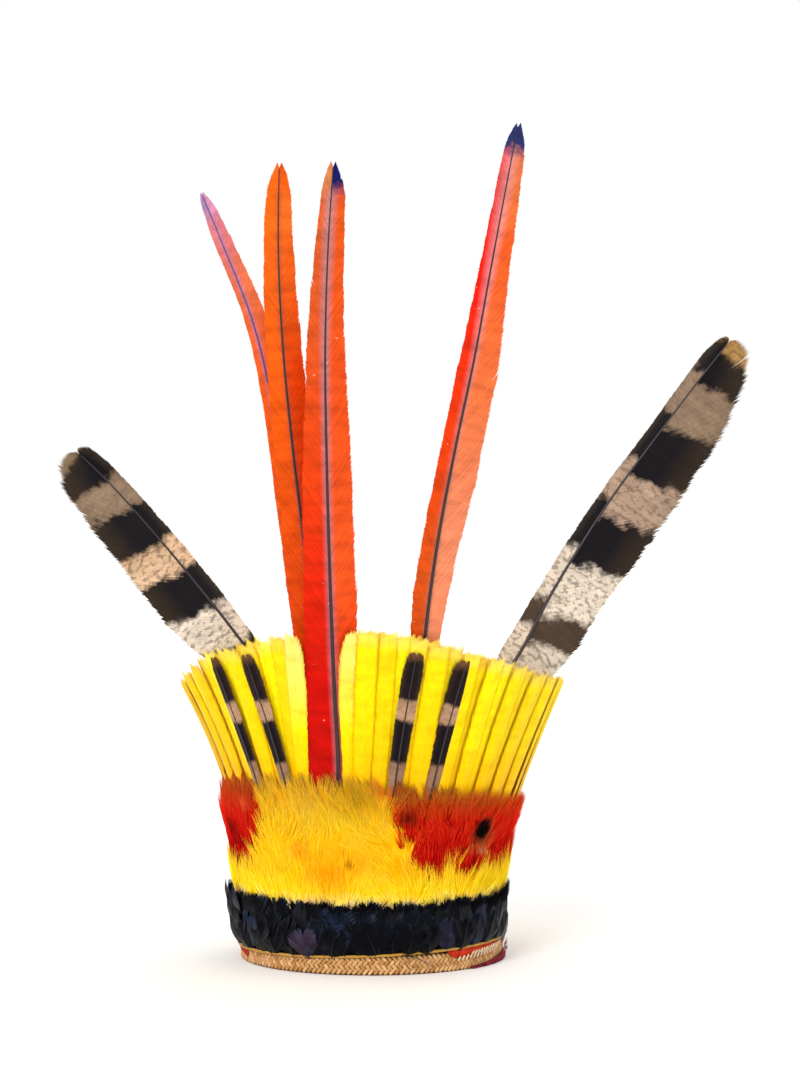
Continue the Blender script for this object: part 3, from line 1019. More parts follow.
def plume(name, by_height, low, high, tip, spots=(), tip_share=0.35, wander=12, under=0xC0A090):
    """Plumage whose colour goes by (height in mm, colour), with soft spots of another colour, each
    ((mm round, height), radius, how strong, colour). Its barbs are deeper at the root, by the under
    colour, as light goes from barb to barb there, and paler at the tip. Where the bed says red, it
    is red."""
    made, tree, shader = material(name, Roughness=0.7, Specular_IOR_Level=0.04)
    lay = add(tree, READ, attribute_name="lay").outputs["Vector"]
    at = add(tree, SEPARATE, {0: lay})
    drift = add(tree, NOISE, {"Vector": lay, "Scale": 1 / (12 * MM), "Detail": 2})
    height = add(tree, MATH, {0: drift, 1: wander * 2 * MM, 2: at.outputs["Y"]},
                 operation="MULTIPLY_ADD")
    place = add(tree, RANGE, {"Value": height, 1: (low + wander) * MM, 2: (high + wander) * MM})
    stops = [((z - low) / (high - low), tint) for z, tint in by_height]
    tint = add(tree, RAMP, {"Fac": place}, stops=stops)
    u, strand, red = (add(tree, READ, attribute_name=name).outputs["Fac"]
                      for name in ("u", "strand", "red"))
    ends = add(tree, RANGE, {"Value": u, 1: 0.4, 2: 1.0, 3: 0.0, 4: tip_share})
    ends = add(tree, MATH, {0: ends, 1: strand}, operation="MULTIPLY")
    tint = add(tree, MIX, {0: ends, 6: tint, 7: colour(tip)}, data_type="RGBA")
    some = add(tree, MATH, {0: strand, 1: 0.68}, operation="GREATER_THAN")
    upper = add(tree, RANGE, {"Value": height, 1: 108 * MM, 2: 136 * MM, 3: 0.0, 4: 0.9})
    dusk = add(tree, RANGE, {"Value": u, 1: 0.3, 2: 0.8})
    dusk = add(tree, MATH, {0: dusk, 1: upper}, operation="MULTIPLY")
    dusk = add(tree, MATH, {0: dusk, 1: some}, operation="MULTIPLY")
    tint = add(tree, MIX, {0: dusk, 6: tint, 7: colour(0x5A3C10)}, data_type="RGBA")
    for (x, z), radius, strong, spot_tint in spots:
        apart = add(tree, VECTOR, {0: lay, 1: (x * MM, z * MM, 0)}, operation="DISTANCE")
        soft = add(tree, MATH, {0: drift, 1: radius * 1.2 * MM, 2: apart.outputs["Value"]},
                   operation="MULTIPLY_ADD")
        mask = add(tree, RANGE,
                   {"Value": soft, 1: radius * 0.7 * MM, 2: radius * 1.9 * MM, 3: strong, 4: 0.0})
        tint = add(tree, MIX, {0: mask, 6: tint, 7: colour(spot_tint)}, data_type="RGBA")
    tint = add(tree, MIX, {0: red, 6: tint, 7: colour(0xC00C08)}, data_type="RGBA")
    roots = add(tree, RANGE, {"Value": u, 1: 0.0, 2: 0.45, 3: 1.0, 4: 0.0})
    tint = add(tree, MIX, {0: roots, 6: tint, 7: colour(under)}, data_type="RGBA",
               blend_type="MULTIPLY")
    each = add(tree, RANGE, {"Value": strand, 3: 0.9, 4: 1.1})
    tint = add(tree, VECTOR, {0: tint, "Scale": each}, operation="SCALE")
    tree.links.new(tint.outputs[0], shader.inputs["Base Color"])
    return made


TUFTS = plumage_tree()
TUFT_SIZES = {
    "Gap": 4.0 * MM, "Strands": 15, "Length": 23 * MM, "Width": 0.46 * MM, "Thickness": 0.18 * MM,
    "Spread": 0.16, "Fan": 0.16, "Swirl": 0.5, "Lift": 0.2, "Settle": 0.12, "Wave": 0.2, "Seed": 1,
    "Without Bed": False,
}


def tufted(name, bed, hair, slot, node, **sizes):
    """A piece of plumage, grown on a bed."""
    piece = grown(name, bed, TUFTS, {**TUFT_SIZES, **sizes, "Hair": hair})
    return finished(piece, slot, node)


def pressed(low, low_span, high, high_span):
    """The rule for how flat barbs lie on the bed: below 0 they stand off it, low down, and above 0
    they lie flatter, high up."""
    return lambda a, z: (max(-1.0, min(-0.3, (low - z) / low_span))
                         + max(0, (z - high) / high_span))


def soft_plumage():
    """The ring of yellow plumage and the two red patches in it."""
    # Yellow down feathers on strips of skin: soft and matt, creamy where they start, golden above.
    yellow = plume("yellow plumage", [
        (46, 0xFBE8C0), (51, 0xFFEE60), (57, 0xFFE410), (74, 0xFFD400), (90, 0xFFD006),
        (106, 0xFFD814), (118, 0xFCCA14), (130, 0xECB41C), (142, 0xCC981C)],
        42, 144, 0xFFEE80, spots=[
            ((-30, 70), 17, 0.75, 0xFFA000), ((-6, 78), 9, 0.5, 0xFFA800),
            ((20, 72), 9, 0.4, 0xFFA800), ((-50, 84), 8, 0.5, 0xF89010),
            ((-15, 76), 3.5, 0.6, 0xA07010), ((-8, 124), 15, 0.6, 0xB88C14),
            ((8, 131), 8, 0.9, 0xD86020), ((-42, 116), 12, 0.4, 0xF8D040)],
        wander=9, under=0xFFDCB4)
    rules = {"sweep": lambda a, z: (0.22 * math.sin(math.radians(a * 5 + z * 3))
                                    - 0.3 * math.exp(-(a - 6) ** 2 / 90)),
             "red": lambda a, z: max(0.0, min(1.0, in_red(a, z) / 3)),
             "flat": pressed(86, 22, 104, 14)}
    for name, low, high, length, seed, without_bed in (
            ("yellow_plumage_lower", 0, 92, lambda a, z: 1.0, 3, False),
            ("yellow_plumage_upper", 80, 200, lambda a, z: hair_length(around(a), z), 4, True)):
        bed = shell(name + "_bed", bed_profile(-0.06, 0.88, 2.6), BED_ROUND, outer=range(6),
                    grow=lambda a, z: (length(a, z) if in_red(a, z) <= 1.5 and low <= z <= high
                                       else 0.0), **rules)
        tufted(name, bed, yellow, "yellow_plumage", "yellow_plumage",
               **{"Seed": seed, "Without Bed": without_bed})
    # Scarlet body feathers: the same soft plumage, orange and brown at the ends of the barbs.
    right = plume("red plumage right", [
        (70, 0xC80804), (88, 0xDC0E06), (104, 0xE41808), (114, 0xE03C0C), (124, 0xC86418),
        (132, 0xA86020)],
        66, 134, 0xFF8040, spots=[
            ((86, 92), 11, 0.6, 0xE88848), ((83, 97), 8, 2.0, 0x0C0606),
            ((68, 84), 3.5, 0.7, 0x2A1008), ((88, 82), 4, 0.7, 0xF0B080),
            ((24, 108), 7, 0.8, 0x4A0C08), ((14, 126), 8, 0.6, 0xA03818)],
        tip_share=0.3, wander=6, under=0xA07070)
    rules = {"red": lambda a, z: 0.0, "flat": pressed(92, 18, 102, 12),
             "grow": lambda a, z: hair_length(a, z) if in_red(a, z) > 0 else 0.0}
    bed = shell("red_bed_right", bed_profile(0.1, 0.9, 2.2), [6 + i * 4 for i in range(25)],
                outer=range(6), **rules,
                sweep=lambda a, z: 0.05 + 0.34 * math.sin(math.radians(a * 4 + z * 2)))
    tufted("red_plumage_right_tufts", bed, right, "red_plumage", "red_plumage_right",
           **{"Gap": 3.6 * MM, "Length": 21 * MM, "Lift": 0.28, "Seed": 5, "Without Bed": True})
    left = plume("red plumage left", [
        (78, 0xB00604), (92, 0xCC0806), (108, 0xDC180A), (120, 0xD03810), (130, 0xB85018)], 74, 132,
        0xFF7038,
        spots=[((-118, 96), 9, 0.8, 0x5A0A08), ((-96, 116), 6, 0.7, 0xE86030),
               ((-84, 92), 5, 0.7, 0x7A0A04)],
        tip_share=0.25, wander=6, under=0xA07070)
    bed = shell("red_bed_left", bed_profile(0.2, 0.9, 2.2), [-106 + i * 4 for i in range(17)],
                outer=range(6), **rules,
                sweep=lambda a, z: -0.05 + 0.15 * math.sin(math.radians(a * 6)))
    tufted("red_plumage_left_tufts", bed, left, "red_plumage", "red_plumage_left",
           **{"Gap": 3.6 * MM, "Length": 24 * MM, "Lift": 0.12, "Swirl": 0.16, "Spread": 0.06,
              "Fan": 0.08, "Seed": 7, "Without Bed": True})


def cord_height(azimuth):
    """The height of the cord, which lies higher on the crown's right than on its left."""
    return 14.3 + 3.6 * math.sin(math.radians(azimuth - 10))


# Black body feather: dense black barbs with a blue gloss, a few of them blue or purple-brown.
def black_vane():
    made, tree, shader = material("black body feather", Roughness=0.34, Specular_IOR_Level=0.1)
    shader.inputs["Specular Tint"].default_value = colour(0xC4CCE8)
    tone, cross = (add(tree, READ, attribute_name=name).outputs["Fac"]
                   for name in ("tone", "cross"))
    lay = add(tree, READ, attribute_name="lay").outputs["Vector"]
    cross = add(tree, MATH, {0: cross}, operation="ABSOLUTE")
    base = add(tree, RAMP, {"Fac": tone}, stops=[
        (0.0, 0x020203), (0.6, 0x030304), (0.8, 0x050508), (0.9, 0x06080E), (0.96, 0x0E1424),
        (0.98, 0x342430)])
    patch = add(tree, NOISE, {"Vector": lay, "Scale": 1 / (8 * MM), "Detail": 2})
    blue = add(tree, RANGE, {"Value": patch, 1: 0.55, 2: 0.72, 3: 0.03, 4: 0.34})
    glossy = add(tree, RANGE, {"Value": tone, 1: 0.82, 2: 0.96})
    blue = add(tree, MATH, {0: blue, 1: glossy}, operation="MULTIPLY")
    vane = add(tree, MIX, {0: blue, 6: base, 7: colour(0x2C4A78)}, data_type="RGBA")
    worn = add(tree, RANGE, {"Value": cross, 1: 0.75, 2: 1.0, 3: 0.0, 4: 0.8})
    worn = add(tree, MATH, {0: worn, 1: tone}, operation="MULTIPLY")
    vane = add(tree, MIX, {0: worn, 6: vane, 7: colour(0x343C50)}, data_type="RGBA")
    tree.links.new(barb_shade(tree, vane, 0.45, 1.2).outputs[0], shader.inputs["Base Color"])
    return made


# Rows of black feathers, the outermost last: height of the foot, how far out, count, length. One
# feather is purple-brown: its row, and its place in it.
BLACK_ROWS = [(27, 0.0, 34, 25), (21, 1.0, 30, 27), (9, 0.6, 40, 16), (14, 2.0, 27, 27),
              (9, 3.0, 27, 24)]
PURPLE_FEATHER = (4, 23)


def black_band():
    """Overlapping rows of black feathers, with down along their upper edge."""
    dice = random.Random(9)
    shafts = []
    for row, (foot, lift, count, long) in enumerate(BLACK_ROWS):
        for i in range(count):
            azimuth = (i + 0.5 * row + dice.uniform(-0.25, 0.25)) * 360 / count
            side = math.sin(math.radians(azimuth))
            swept = 0.8 * max(0, side) ** 3
            tilt = dice.uniform(-0.4, 0.4) + swept
            front = 3 * max(0, math.cos(math.radians(azimuth)))
            base = max(foot, cord_height(azimuth) - 1.0) + dice.uniform(-0.5, 1.5)
            length = long - front + dice.uniform(-3, 2)
            tight = max(0, side) ** 4
            half = dice.uniform(11.5, 15) * (1 - 0.35 * tight)
            line = []
            for share in (0, 0.33, 0.66, 1):
                height = base + length * share * math.cos(tilt)
                shifted = azimuth + math.degrees(length * share * math.sin(tilt) / (RIM_RADIUS + 3))
                tucked = min(1, 0.1 + 3 * share)
                bulge = RIM_RADIUS + 1.2 + lift * tucked * (1 - 0.7 * tight) + 0.02 * (height - 20)
                bulge += (2.2 - tight) * math.sin(math.pi * 0.75 * share)
                flare = 9.0 * max(0, -side) ** 4 * max(0, (height - 20) / 30)
                line.append(polar(bulge + flare, shifted, height))
            outline = [(0, half * 0.5), (0.1, half * 0.6), (0.3, half * 0.8), (0.55, half),
                       (0.75, half * 0.98), (0.88, half * 0.8), (0.96, half * 0.5),
                       (1, half * 0.15)]
            tone = 0.985 if (row, i) == PURPLE_FEATHER else min(0.965, dice.random() + 0.35 * swept)
            shafts.append(shaft(line, outline, outline, outward(azimuth), angle=(58, 10),
                                quill=(0.28, 0.08),
                                tone=tone, gap=3, bare=0.0, short=5, turning=0.1))
    # One loose hair lies across the plait.
    loose = [polar(RIM_RADIUS + out, azimuth, height) for out, azimuth, height in (
        (2.0, 13, 14.2), (2.2, 18, 12.4), (1.8, 23, 8.6), (1.2, 27, 4.0))]
    none = [(0, 0.0), (1, 0.0)]
    shafts.append(shaft(loose, none, none, outward(20), quill=(0.45, 0.2), gap=1.5, bare=1.0,
                        short=0.5))
    piece = feathers("black_feathers", shafts, black_vane(),
                     horn("black shaft horn", 0x0A0A0C, 0x0A0A0C),
                     seed=90, **{
                         "Pitch": 1.15 * MM, "Segments": 3, "Crowding": 1.5, "Overlap": 2.0,
                         "Blunt": 10.0,
                         "Droop": 0.16, "Roof": 0.1, "Curl": 0.2, "Split": math.radians(5),
                         "Split Length": 4 * MM, "Jitter": math.radians(1.5), "Ragged": 0.1,
                         "Thickness": 0.3 * MM, "Shingle": 0.2})
    finished(piece, "black_feathers", "black_feather_band")
    # The band's upper edge is a fringe of fine black down, matt and a little grey at its ends.

    def down_top(azimuth):
        """The height of the skin that the down grows on, which is lower in front."""
        return 49.5 - 4 * max(0, math.cos(math.radians(azimuth)))

    down = plume("black down", [(40, 0x050506), (60, 0x0A0A0C)], 38, 62, 0x181822, under=0xA0A0A0)
    bed = shell("black_bed", lambda a: [(RIM_RADIUS + out, height) for out, height in (
        (1.0, cord_height(a) + 1.2), (1.4, 28), (2.2, 40), (2.6, down_top(a)), (1.7, down_top(a)),
        (1.2, 40), (0.3, 28), (0.2, cord_height(a) + 1.2))],
        BED_ROUND, outer=(2,), grow=lambda a, z: 1.0)
    tufted("black_down_fringe", bed, down, "black_feathers", "black_feather_band",
           **{"Gap": 3.0 * MM, "Strands": 8, "Length": 9 * MM, "Lift": 0.5, "Spread": 0.4,
              "Fan": 0.5, "Width": 0.45 * MM, "Seed": 17})


def plait_tree():
    """Flat strands set side by side along the input's lines. Each slants from the line by the
    angle that the line carries, bulges in its middle and ducks under its neighbours at its ends."""
    tree, given = new_tree("plait", {
        "Count": "Int", "Length": "Float", "Width": "Float", "Thickness": "Float", "Seed": "Int",
        "Straw": "Material",
    })
    ball = add(tree, "GeometryNodeMeshUVSphere", {"Segments": 8, "Rings": 5, "Radius": 1.0})
    at = add(tree, SEPARATE, {0: add(tree, "GeometryNodeInputPosition")})
    squared = []
    for label, power in (("X", 0.62), ("Y", 0.5), ("Z", 0.8)):
        sign = add(tree, MATH, {0: at.outputs[label]}, operation="SIGN")
        size = add(tree, MATH, {0: at.outputs[label]}, operation="ABSOLUTE")
        size = add(tree, MATH, {0: size, 1: power}, operation="POWER")
        squared.append(add(tree, MATH, {0: size, 1: sign}, operation="MULTIPLY"))
    shape = add(tree, COMBINE, {0: squared[0], 1: squared[1], 2: squared[2]})
    block = add(tree, SHIFT, {"Geometry": ball.outputs["Mesh"], "Position": shape})
    block = add(tree, STORE, {"Geometry": block, "Name": "local",
                              "Value": add(tree, "GeometryNodeInputPosition")},
                data_type="FLOAT_VECTOR")
    lines = add(tree, "GeometryNodeMeshToCurve", {"Mesh": given["Geometry"]})
    points = add(tree, "GeometryNodeCurveToPoints", {"Curve": lines, "Count": given["Count"]},
                 mode="COUNT")
    face, local = (add(tree, NAMED, {"Name": name}, data_type="FLOAT_VECTOR")
                   for name in ("face", "local"))
    slant, tuck, tone = (add(tree, NAMED, {"Name": name}) for name in ("slant", "tuck", "strand"))
    up = add(tree, VECTOR, {0: face, 1: points.outputs["Tangent"]}, operation="CROSS_PRODUCT")
    off = add(tree, RANDOM, {2: -0.06, 3: 0.06, 8: given["Seed"]})
    slant = add(tree, MATH, {0: slant, 1: off}, operation="ADD")
    cosine = add(tree, MATH, {0: slant}, operation="COSINE")
    sine = add(tree, MATH, {0: slant}, operation="SINE")
    along = add(tree, VECTOR, {0: points.outputs["Tangent"], "Scale": cosine}, operation="SCALE")
    rising = add(tree, VECTOR, {0: up, "Scale": sine}, operation="SCALE")
    way = add(tree, VECTOR, {0: along, 1: rising}, operation="ADD")
    tuck = add(tree, VECTOR, {0: face, "Scale": tuck}, operation="SCALE")
    way = add(tree, VECTOR, {0: way, 1: tuck}, operation="ADD")
    spin = add(tree, "FunctionNodeAxesToRotation", {0: way, 1: face}, primary_axis="X",
               secondary_axis="Z")
    low = add(tree, COMBINE, {0: given["Length"], 1: given["Width"], 2: given["Thickness"]})
    uneven = add(tree, RANDOM, {0: (0.44, 0.43, 0.4), 1: (0.54, 0.5, 0.56), 8: given["Seed"]},
                 data_type="FLOAT_VECTOR")
    size = add(tree, VECTOR, {0: low, 1: uneven.outputs[0]}, operation="MULTIPLY")
    other_seed = add(tree, MATH, {0: given["Seed"], 1: 5.0})
    strand = add(tree, RANDOM, {2: 0.0, 3: 1.0, 8: other_seed})
    ready = add(tree, STORE, {
        "Geometry": points.outputs["Points"], "Name": "strand", "Value": strand})
    placed = add(tree, "GeometryNodeInstanceOnPoints", {
        "Points": ready, "Instance": block, "Rotation": spin, "Scale": size})
    whole = add(tree, "GeometryNodeRealizeInstances", {0: placed})
    lay = add(tree, VECTOR, {0: local, 1: low}, operation="MULTIPLY")
    aside = add(tree, COMBINE, {2: tone})
    lay = add(tree, VECTOR, {0: lay, 1: aside}, operation="ADD")
    whole = add(tree, STORE, {"Geometry": whole, "Name": "lay", "Value": lay},
                data_type="FLOAT_VECTOR")
    whole = add(tree, "GeometryNodeSetShadeSmooth", {"Geometry": whole})
    whole = add(tree, "GeometryNodeSetMaterial", {"Geometry": whole, "Material": given["Straw"]})
    add(tree, "NodeGroupOutput", {0: whole})
    return tree


PLAIT_TREE = plait_tree()


def cord_tree():
    """Plies twisted round the input's lines, which carry the way they face."""
    tree, given = new_tree("twisted cord", {
        "Ply": "Float", "Apart": "Float", "Turn": "Float", "Fibre": "Material"})
    path = add(tree, "GeometryNodeMeshToCurve", {"Mesh": given["Geometry"]})
    gap = add(tree, MATH, {0: given["Turn"], 1: 6.0}, operation="DIVIDE")
    path = add(tree, "GeometryNodeResampleCurve", {"Curve": path, "Length": gap}, mode="LENGTH")
    face = add(tree, NAMED, {"Name": "face"}, data_type="FLOAT_VECTOR")
    run = add(tree, "GeometryNodeSplineParameter").outputs["Length"]
    tangent = add(tree, "GeometryNodeInputTangent").outputs[0]
    up = add(tree, VECTOR, {0: face, 1: tangent}, operation="CROSS_PRODUCT")
    plies = add(tree, "GeometryNodeJoinGeometry")
    for phase in (0, math.pi):
        turn = add(tree, MATH, {0: run, 1: given["Turn"]}, operation="DIVIDE")
        turn = add(tree, MATH, {0: turn, 1: 2 * math.pi, 2: phase}, operation="MULTIPLY_ADD")
        cosine = add(tree, MATH, {0: turn}, operation="COSINE")
        sine = add(tree, MATH, {0: turn}, operation="SINE")
        out = add(tree, VECTOR, {0: face, "Scale": cosine}, operation="SCALE")
        rise = add(tree, VECTOR, {0: up, "Scale": sine}, operation="SCALE")
        move = add(tree, VECTOR, {0: out, 1: rise}, operation="ADD")
        move = add(tree, VECTOR, {0: move, "Scale": given["Apart"]}, operation="SCALE")
        ply = add(tree, SHIFT, {"Geometry": path, "Offset": move})
        tree.links.new(ply.outputs[0], plies.inputs[0])
    ring = add(tree, "GeometryNodeCurvePrimitiveCircle", {"Resolution": 5, "Radius": given["Ply"]})
    rope = add(tree, "GeometryNodeCurveToMesh",
               {"Curve": plies, "Profile Curve": ring, "Fill Caps": True})
    rope = add(tree, "GeometryNodeSetShadeSmooth", {"Geometry": rope})
    rope = add(tree, STORE, {"Geometry": rope, "Name": "lay", "Value": flat_place(tree)},
               data_type="FLOAT_VECTOR")
    rope = add(tree, STORE, {"Geometry": rope, "Name": "strand", "Value": 0.5})
    rope = add(tree, "GeometryNodeSetMaterial", {"Geometry": rope, "Material": given["Fibre"]})
    rope = add(tree, "GeometryNodeRealizeInstances", {0: rope})
    add(tree, "NodeGroupOutput", {0: rope})
    return tree


def lines_round(name, rings, inward=False):
    """Lines that follow the crown round. Each is (azimuths, radius rule, height rule, slant, tuck),
    the last two being those of the strands along it."""
    points, edges, faces, slants, tucks = [], [], [], [], []
    for azimuths, radius, height, slant, tuck in rings:
        first = len(points)
        ring = azimuths[-1] - azimuths[0] > 359.9
        turns = azimuths[:-1] if ring else azimuths
        for azimuth in turns:
            points.append(polar(radius(azimuth), azimuth, height(azimuth)))
            faces.append(outward(azimuth) * (-1 if inward else 1))
            slants.append(slant)
            tucks.append(tuck)
        edges += [(first + i, first + i + 1) for i in range(len(turns) - 1)]
        if ring:
            edges.append((first + len(turns) - 1, first))
    mesh = bpy.data.meshes.new(name)
    mesh.from_pydata(points, edges, [])
    for key, values in (("face", faces), ("slant", slants), ("tuck", tucks)):
        carry(mesh, key, values)
    return mesh


# Straw: split palm leaf or grass stem, dry and slightly glossy. Strands differ in tone, fibres run
# along each of them, and age has stained them in places. Real fibres are some 0.2 mm wide; they
# are drawn 0.6 mm wide so that they show.
def straw(name, dark, light, stained):
    made, tree, shader = material(name, Roughness=0.5, Specular_IOR_Level=0.3)
    lay = add(tree, READ, attribute_name="lay").outputs["Vector"]
    strand = add(tree, READ, attribute_name="strand").outputs["Fac"]
    tint = add(tree, MIX, {0: strand, 6: colour(dark), 7: colour(light)}, data_type="RGBA")
    long = add(tree, "ShaderNodeMapping", {"Vector": lay, "Scale": (0.12, 1, 1)})
    fibres = add(tree, NOISE, {"Vector": long, "Scale": 1 / (0.6 * MM), "Detail": 2})
    fibre = add(tree, RANGE, {"Value": fibres, 1: 0.3, 2: 0.7, 3: 0.74, 4: 1.12})
    tint = add(tree, VECTOR, {0: tint, "Scale": fibre}, operation="SCALE")
    stain = add(tree, NOISE, {
        "Vector": add(tree, "ShaderNodeTexCoord").outputs["Object"],
        "Scale": 1 / (30 * MM), "Detail": 3})
    worn = add(tree, RANGE, {"Value": stain, 1: 0.5, 2: 0.7, 3: 0.0, 4: 0.25})
    tint = add(tree, MIX, {0: worn, 6: tint, 7: colour(stained)}, data_type="RGBA")
    tree.links.new(tint.outputs[2], shader.inputs["Base Color"])
    return made


# Cotton cloth in a plain weave: matt, its threads lighter on top than between, its dye uneven where
# it is worn. Real threads lie 0.4 mm apart; they are drawn 0.8 mm apart so that they show.
def cotton(name, light, dark):
    made, tree, shader = material(name, Roughness=0.85, Specular_IOR_Level=0.15)
    place = add(tree, "ShaderNodeTexCoord").outputs["Object"]
    weave = add(tree, NOISE, {"Vector": place, "Scale": 1 / (0.8 * MM), "Detail": 2})
    worn = add(tree, NOISE, {"Vector": place, "Scale": 1 / (6 * MM), "Detail": 3})
    both = add(tree, MATH, {0: weave, 1: worn}, operation="MULTIPLY")
    share = add(tree, RANGE, {"Value": both, 1: 0.15, 2: 0.36})
    tint = add(tree, MIX, {0: share, 6: colour(dark), 7: colour(light)}, data_type="RGBA")
    tree.links.new(tint.outputs[2], shader.inputs["Base Color"])
    return made


def steady(value):
    """A rule that gives the same value at every azimuth."""
    return lambda azimuth: value


# The plait: strands in a row, rows, height of the lowest row and from row to row; then the same for
# the inner band.
PLAIT = {"strands": 160, "rows": 4, "lowest": 2.45, "pitch": 2.94}
WEAVE = {"strands": 75, "rows": 16, "lowest": 5.15, "pitch": 6.08}
# The lower edge of the red cloth, as (azimuth, height), and where the crimson end starts.
CLOTH_FOOT = [(34, 13.2), (37, 9.4), (41, 8.8), (50, 10.6), (62, 12.4), (272, 12.4), (278, 8),
              (293, 4.6)]
CRIMSON_START = 47


def woven_rows(sizes, radius, angle, tuck):
    """Rows of strands one above the other that slant to and fro. Every second row is turned so that
    its strands lie between those of the others."""
    rows = []
    for row in range(sizes["rows"]):
        odd = row % 2
        turns = [180 / sizes["strands"] * odd + azimuth for azimuth in ALL_ROUND]
        rows.append((turns, steady(radius), steady(sizes["lowest"] + sizes["pitch"] * row),
                     math.radians(-angle if odd else angle), tuck))
    return rows


def strands(name, lines, count, sizes, seed, straw_of_it, inward=False):
    """A piece of flat strands, so many on each line. Sizes are a strand's length, width and
    thickness."""
    long, wide, thick = sizes
    return grown(name, lines_round(name + "_lines", lines, inward), PLAIT_TREE, {
        "Count": count, "Length": long * MM, "Width": wide * MM, "Thickness": thick * MM,
        "Seed": seed, "Straw": straw_of_it})


def wall(outside, inside, foot, top):
    """The section of a plain ring between two radii."""
    return lambda azimuth: [(outside, foot), (outside, top), (inside, top), (inside, foot)]


def crimson_top(azimuth):
    """The height to which the crimson cloth's end reaches."""
    return 2.4 + 6.4 * max(0, (azimuth - CRIMSON_START) / 40) ** 1.6


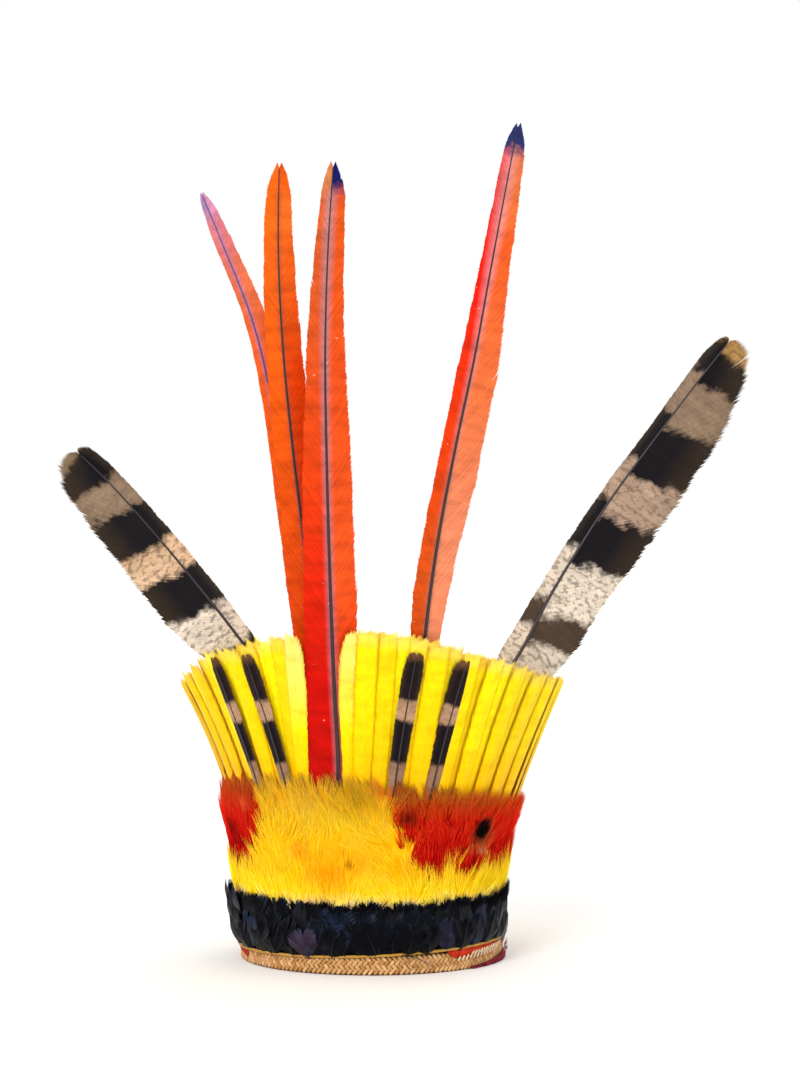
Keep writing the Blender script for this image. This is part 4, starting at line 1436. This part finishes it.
def rim():
    """The plait and what lies on it."""
    light = straw("plaited straw", 0xB07838, 0xE0B078, 0x6E4614)
    dark = straw("straw in the gaps", 0x3A2008, 0x4A2C0C, 0x2A1604)
    for name, inset, angle, thick, seed, inward in (
            ("braid_strands", 0.9, 47, 1.8, 21, False),
            ("braid_strands_inside", 2.7, -47, 1.2, 22, True)):
        rows = woven_rows(PLAIT, RIM_RADIUS - inset, angle, 0.05)
        piece = strands(name, rows, PLAIT["strands"], (5.2, 2.7, thick), seed, light, inward)
        finished(piece, "plaited_straw", "straw_braid")
    section = wall(RIM_RADIUS - 1.1, RIM_RADIUS - 2.5, 0.5, BRAID_HEIGHT - 0.4)
    core = shell("braid_core", section, ALL_ROUND)
    tufted("braid_core", core, dark, "plaited_straw", "straw_braid")

    # The inner band is a coarser plain weave.
    palm = straw("woven palm straw", 0x9A6A30, 0xD0A060, 0x5A3A14)
    rows = woven_rows(WEAVE, BAND_RADIUS - 1.7, -45, 0.04)
    piece = strands("inner_band_strands", rows, WEAVE["strands"], (11, 6.2, 1.4), 23, palm,
                    inward=True)
    finished(piece, "woven_straw", "inner_band")
    section = wall(BAND_RADIUS - 0.1, BAND_RADIUS - 1.4, 0.8, BAND_TOP - 0.4)
    core = shell("inner_band_core", section, ALL_ROUND)
    tufted("inner_band_core", core, palm, "woven_straw", "inner_band")

    # Two plies of straw fibre twisted together lie along the top of the plait.
    fibre = straw("twisted straw", 0xA87018, 0xE0B050, 0x7A4A10)
    path = lines_round("cord_line", [(ALL_ROUND, steady(RIM_RADIUS + 1.3), cord_height, 0.0, 0.0)])
    piece = grown("edge_cord_plies", path, cord_tree(), {
        "Ply": 0.6 * MM, "Apart": 0.52 * MM, "Turn": 4.2 * MM, "Fibre": fibre})
    finished(piece, "twisted_straw", "edge_cord")

    # The red cloth lies folded behind the cord, and its edge hangs over the plait where it starts
    # and ends.
    red = cotton("orange-red cotton", 0xD83C18, 0x9A1E0C)

    def strip_section(azimuth):
        """The cloth's section: up its outer side and down its inner side, a little uneven."""
        foot, edge = between(CLOTH_FOOT, azimuth), 0.15 * math.sin(azimuth * 0.5)
        middle, upper = 0.2 * math.sin(azimuth * 0.31), 0.3 * math.sin(azimuth * 0.43)
        return [(RIM_RADIUS + out, height) for out, height in (
            (0.7 + edge, foot), (0.9 + middle, 13.6), (0.1 + upper, 17), (-0.4, 23.8), (-0.7, 23.8),
            (-0.2 + upper, 17), (0.5 + middle, 13.6), (0.35 + edge, foot))]

    strip = shell("red_cloth_strip", strip_section, [34 + i * 3.7 for i in range(71)])
    strip = tufted("red_cloth_strip", strip, red, "red_cloth", "red_cloth")

    # Bleached straw is stitched over the cloth's end.
    bleached = straw("bleached straw", 0xD8B890, 0xF4E0C0, 0xB08050)
    rows = [([40 + i * 2 for i in range(15)], steady(RIM_RADIUS + 1.1),
             lambda a: 8.6 + 0.10 * (a - 40), math.radians(47), 0.0),
            ([48 + i * 2 for i in range(13)], steady(RIM_RADIUS + 1.2),
             lambda a: 11.4 + 0.12 * (a - 48), math.radians(40), 0.0)]
    piece = strands("straw_stitches", rows, 13, (4.4, 1.6, 0.7), 24, bleached)
    finished(piece, "plaited_straw", "straw_braid")

    # A dark crimson cloth end is folded round the foot of the plait. Its section is a loop of (how
    # far out, height, share of its full height). Its cut end frays into crimson and pale threads.
    crimson = cotton("dark crimson cotton", 0x961C28, 0x4A0C16)
    loop = [(1.5, 0.5, 0), (1.9, 1.2, 0.4), (1.2, 0, 1), (0.75, 0, 1), (1.4, 1.2, 0.4),
            (1.0, 0.5, 0)]
    end = shell("crimson_end", lambda a: [
        (RIM_RADIUS + out + 0.15 * math.sin(a * 0.9), low + crimson_top(a) * part)
        for out, low, part in loop], [CRIMSON_START + i * 2 for i in range(22)])
    end = tufted("crimson_cloth_folded", end, crimson, "crimson_cloth", "crimson_cloth_end")
    thread = cotton("bleached cotton thread", 0xE4E8E0, 0xA8C4C0)
    for name, hair, seed, threads in (("crimson_fray", crimson, 31, 3),
                                      ("pale_fray", thread, 32, 1)):
        bed = shell(name + "_bed", lambda a: [
            (RIM_RADIUS + 1.3, 4.5), (RIM_RADIUS + 1.5, crimson_top(a) - 0.2),
            (RIM_RADIUS + 1.1, crimson_top(a) - 0.2), (RIM_RADIUS + 0.9, 4.5)],
            [80 + i * 2 for i in range(6)], outer=(0,), grow=lambda a, z: 1.0,
            sweep=lambda a, z: 1.0)
        tufted(name, bed, hair, "crimson_cloth", "crimson_cloth_end", **{
            "Gap": 1.8 * MM, "Strands": threads, "Length": 5 * MM, "Lift": 0.7,
            "Width": 0.35 * MM, "Thickness": 0.3 * MM, "Spread": 0.5, "Seed": seed})


# Camera, light and floor --------------------------------------------------------------------

# Where the eye stands, where the lamps aim, and each lamp's place, power and width in degrees.
EYE = (20, -2000, 303)
LAMP_AIM = (0, 0, 150)
LAMPS = {"key": ((-700, -1700, 1300), 1.5, 25), "back": ((500, 1300, 1600), 0.45, 40)}
FLOOR_HALF = 12000


def studio():
    """The eye in front of the crown, a white room round it and a white floor under it."""
    scene = bpy.context.scene
    camera = bpy.data.cameras.new("camera")
    camera.lens = 94.1
    camera.sensor_width = 36
    camera.clip_end = 50
    eye = bpy.data.objects.new("camera", camera)
    eye.location = spot(*EYE)
    eye.rotation_euler = (math.radians(90), 0, 0)
    scene.collection.objects.link(eye)
    scene.camera = eye
    scene.view_settings.view_transform = "Standard"

    world = bpy.data.worlds.new("white room")
    world.use_nodes = True
    background = world.node_tree.nodes["Background"]
    background.inputs["Color"].default_value = (1, 1, 1, 1)
    background.inputs["Strength"].default_value = 1.0
    scene.world = world
    for name, (place, power, wide) in LAMPS.items():
        light = bpy.data.lights.new(name, "SUN")
        light.energy = power
        light.angle = math.radians(wide)
        lamp = bpy.data.objects.new(name, light)
        lamp.location = spot(*place)
        aim = spot(*LAMP_AIM) - lamp.location
        lamp.rotation_euler = aim.to_track_quat("-Z", "Y").to_euler()
        scene.collection.objects.link(lamp)

    mesh = bpy.data.meshes.new("floor")
    half = FLOOR_HALF * MM
    corners = [(-half, -half, 0), (half, -half, 0), (half, half, 0), (-half, half, 0)]
    mesh.from_pydata(corners, [], [(0, 1, 2, 3)])
    floor = bpy.data.objects.new("floor", mesh)
    scene.collection.objects.link(floor)
    # Matt white paper: it takes the crown's shadow and its colour very softly.
    paper, tree, shader = material("white paper", Roughness=0.9, Specular_IOR_Level=0.1)
    place = add(tree, "ShaderNodeTexCoord").outputs["Object"]
    grain = add(tree, NOISE, {"Vector": place, "Scale": 3.0, "Detail": 2})
    tint = add(tree, MIX, {0: grain, 6: colour(0xF5F5F5), 7: colour(0xF8F8F8)}, data_type="RGBA")
    tree.links.new(tint.outputs[2], shader.inputs["Base Color"])
    mesh.materials.append(paper)


studio()
long_feathers()
short_barred_feathers()
yellow_feathers()
soft_plumage()
black_band()
rim()
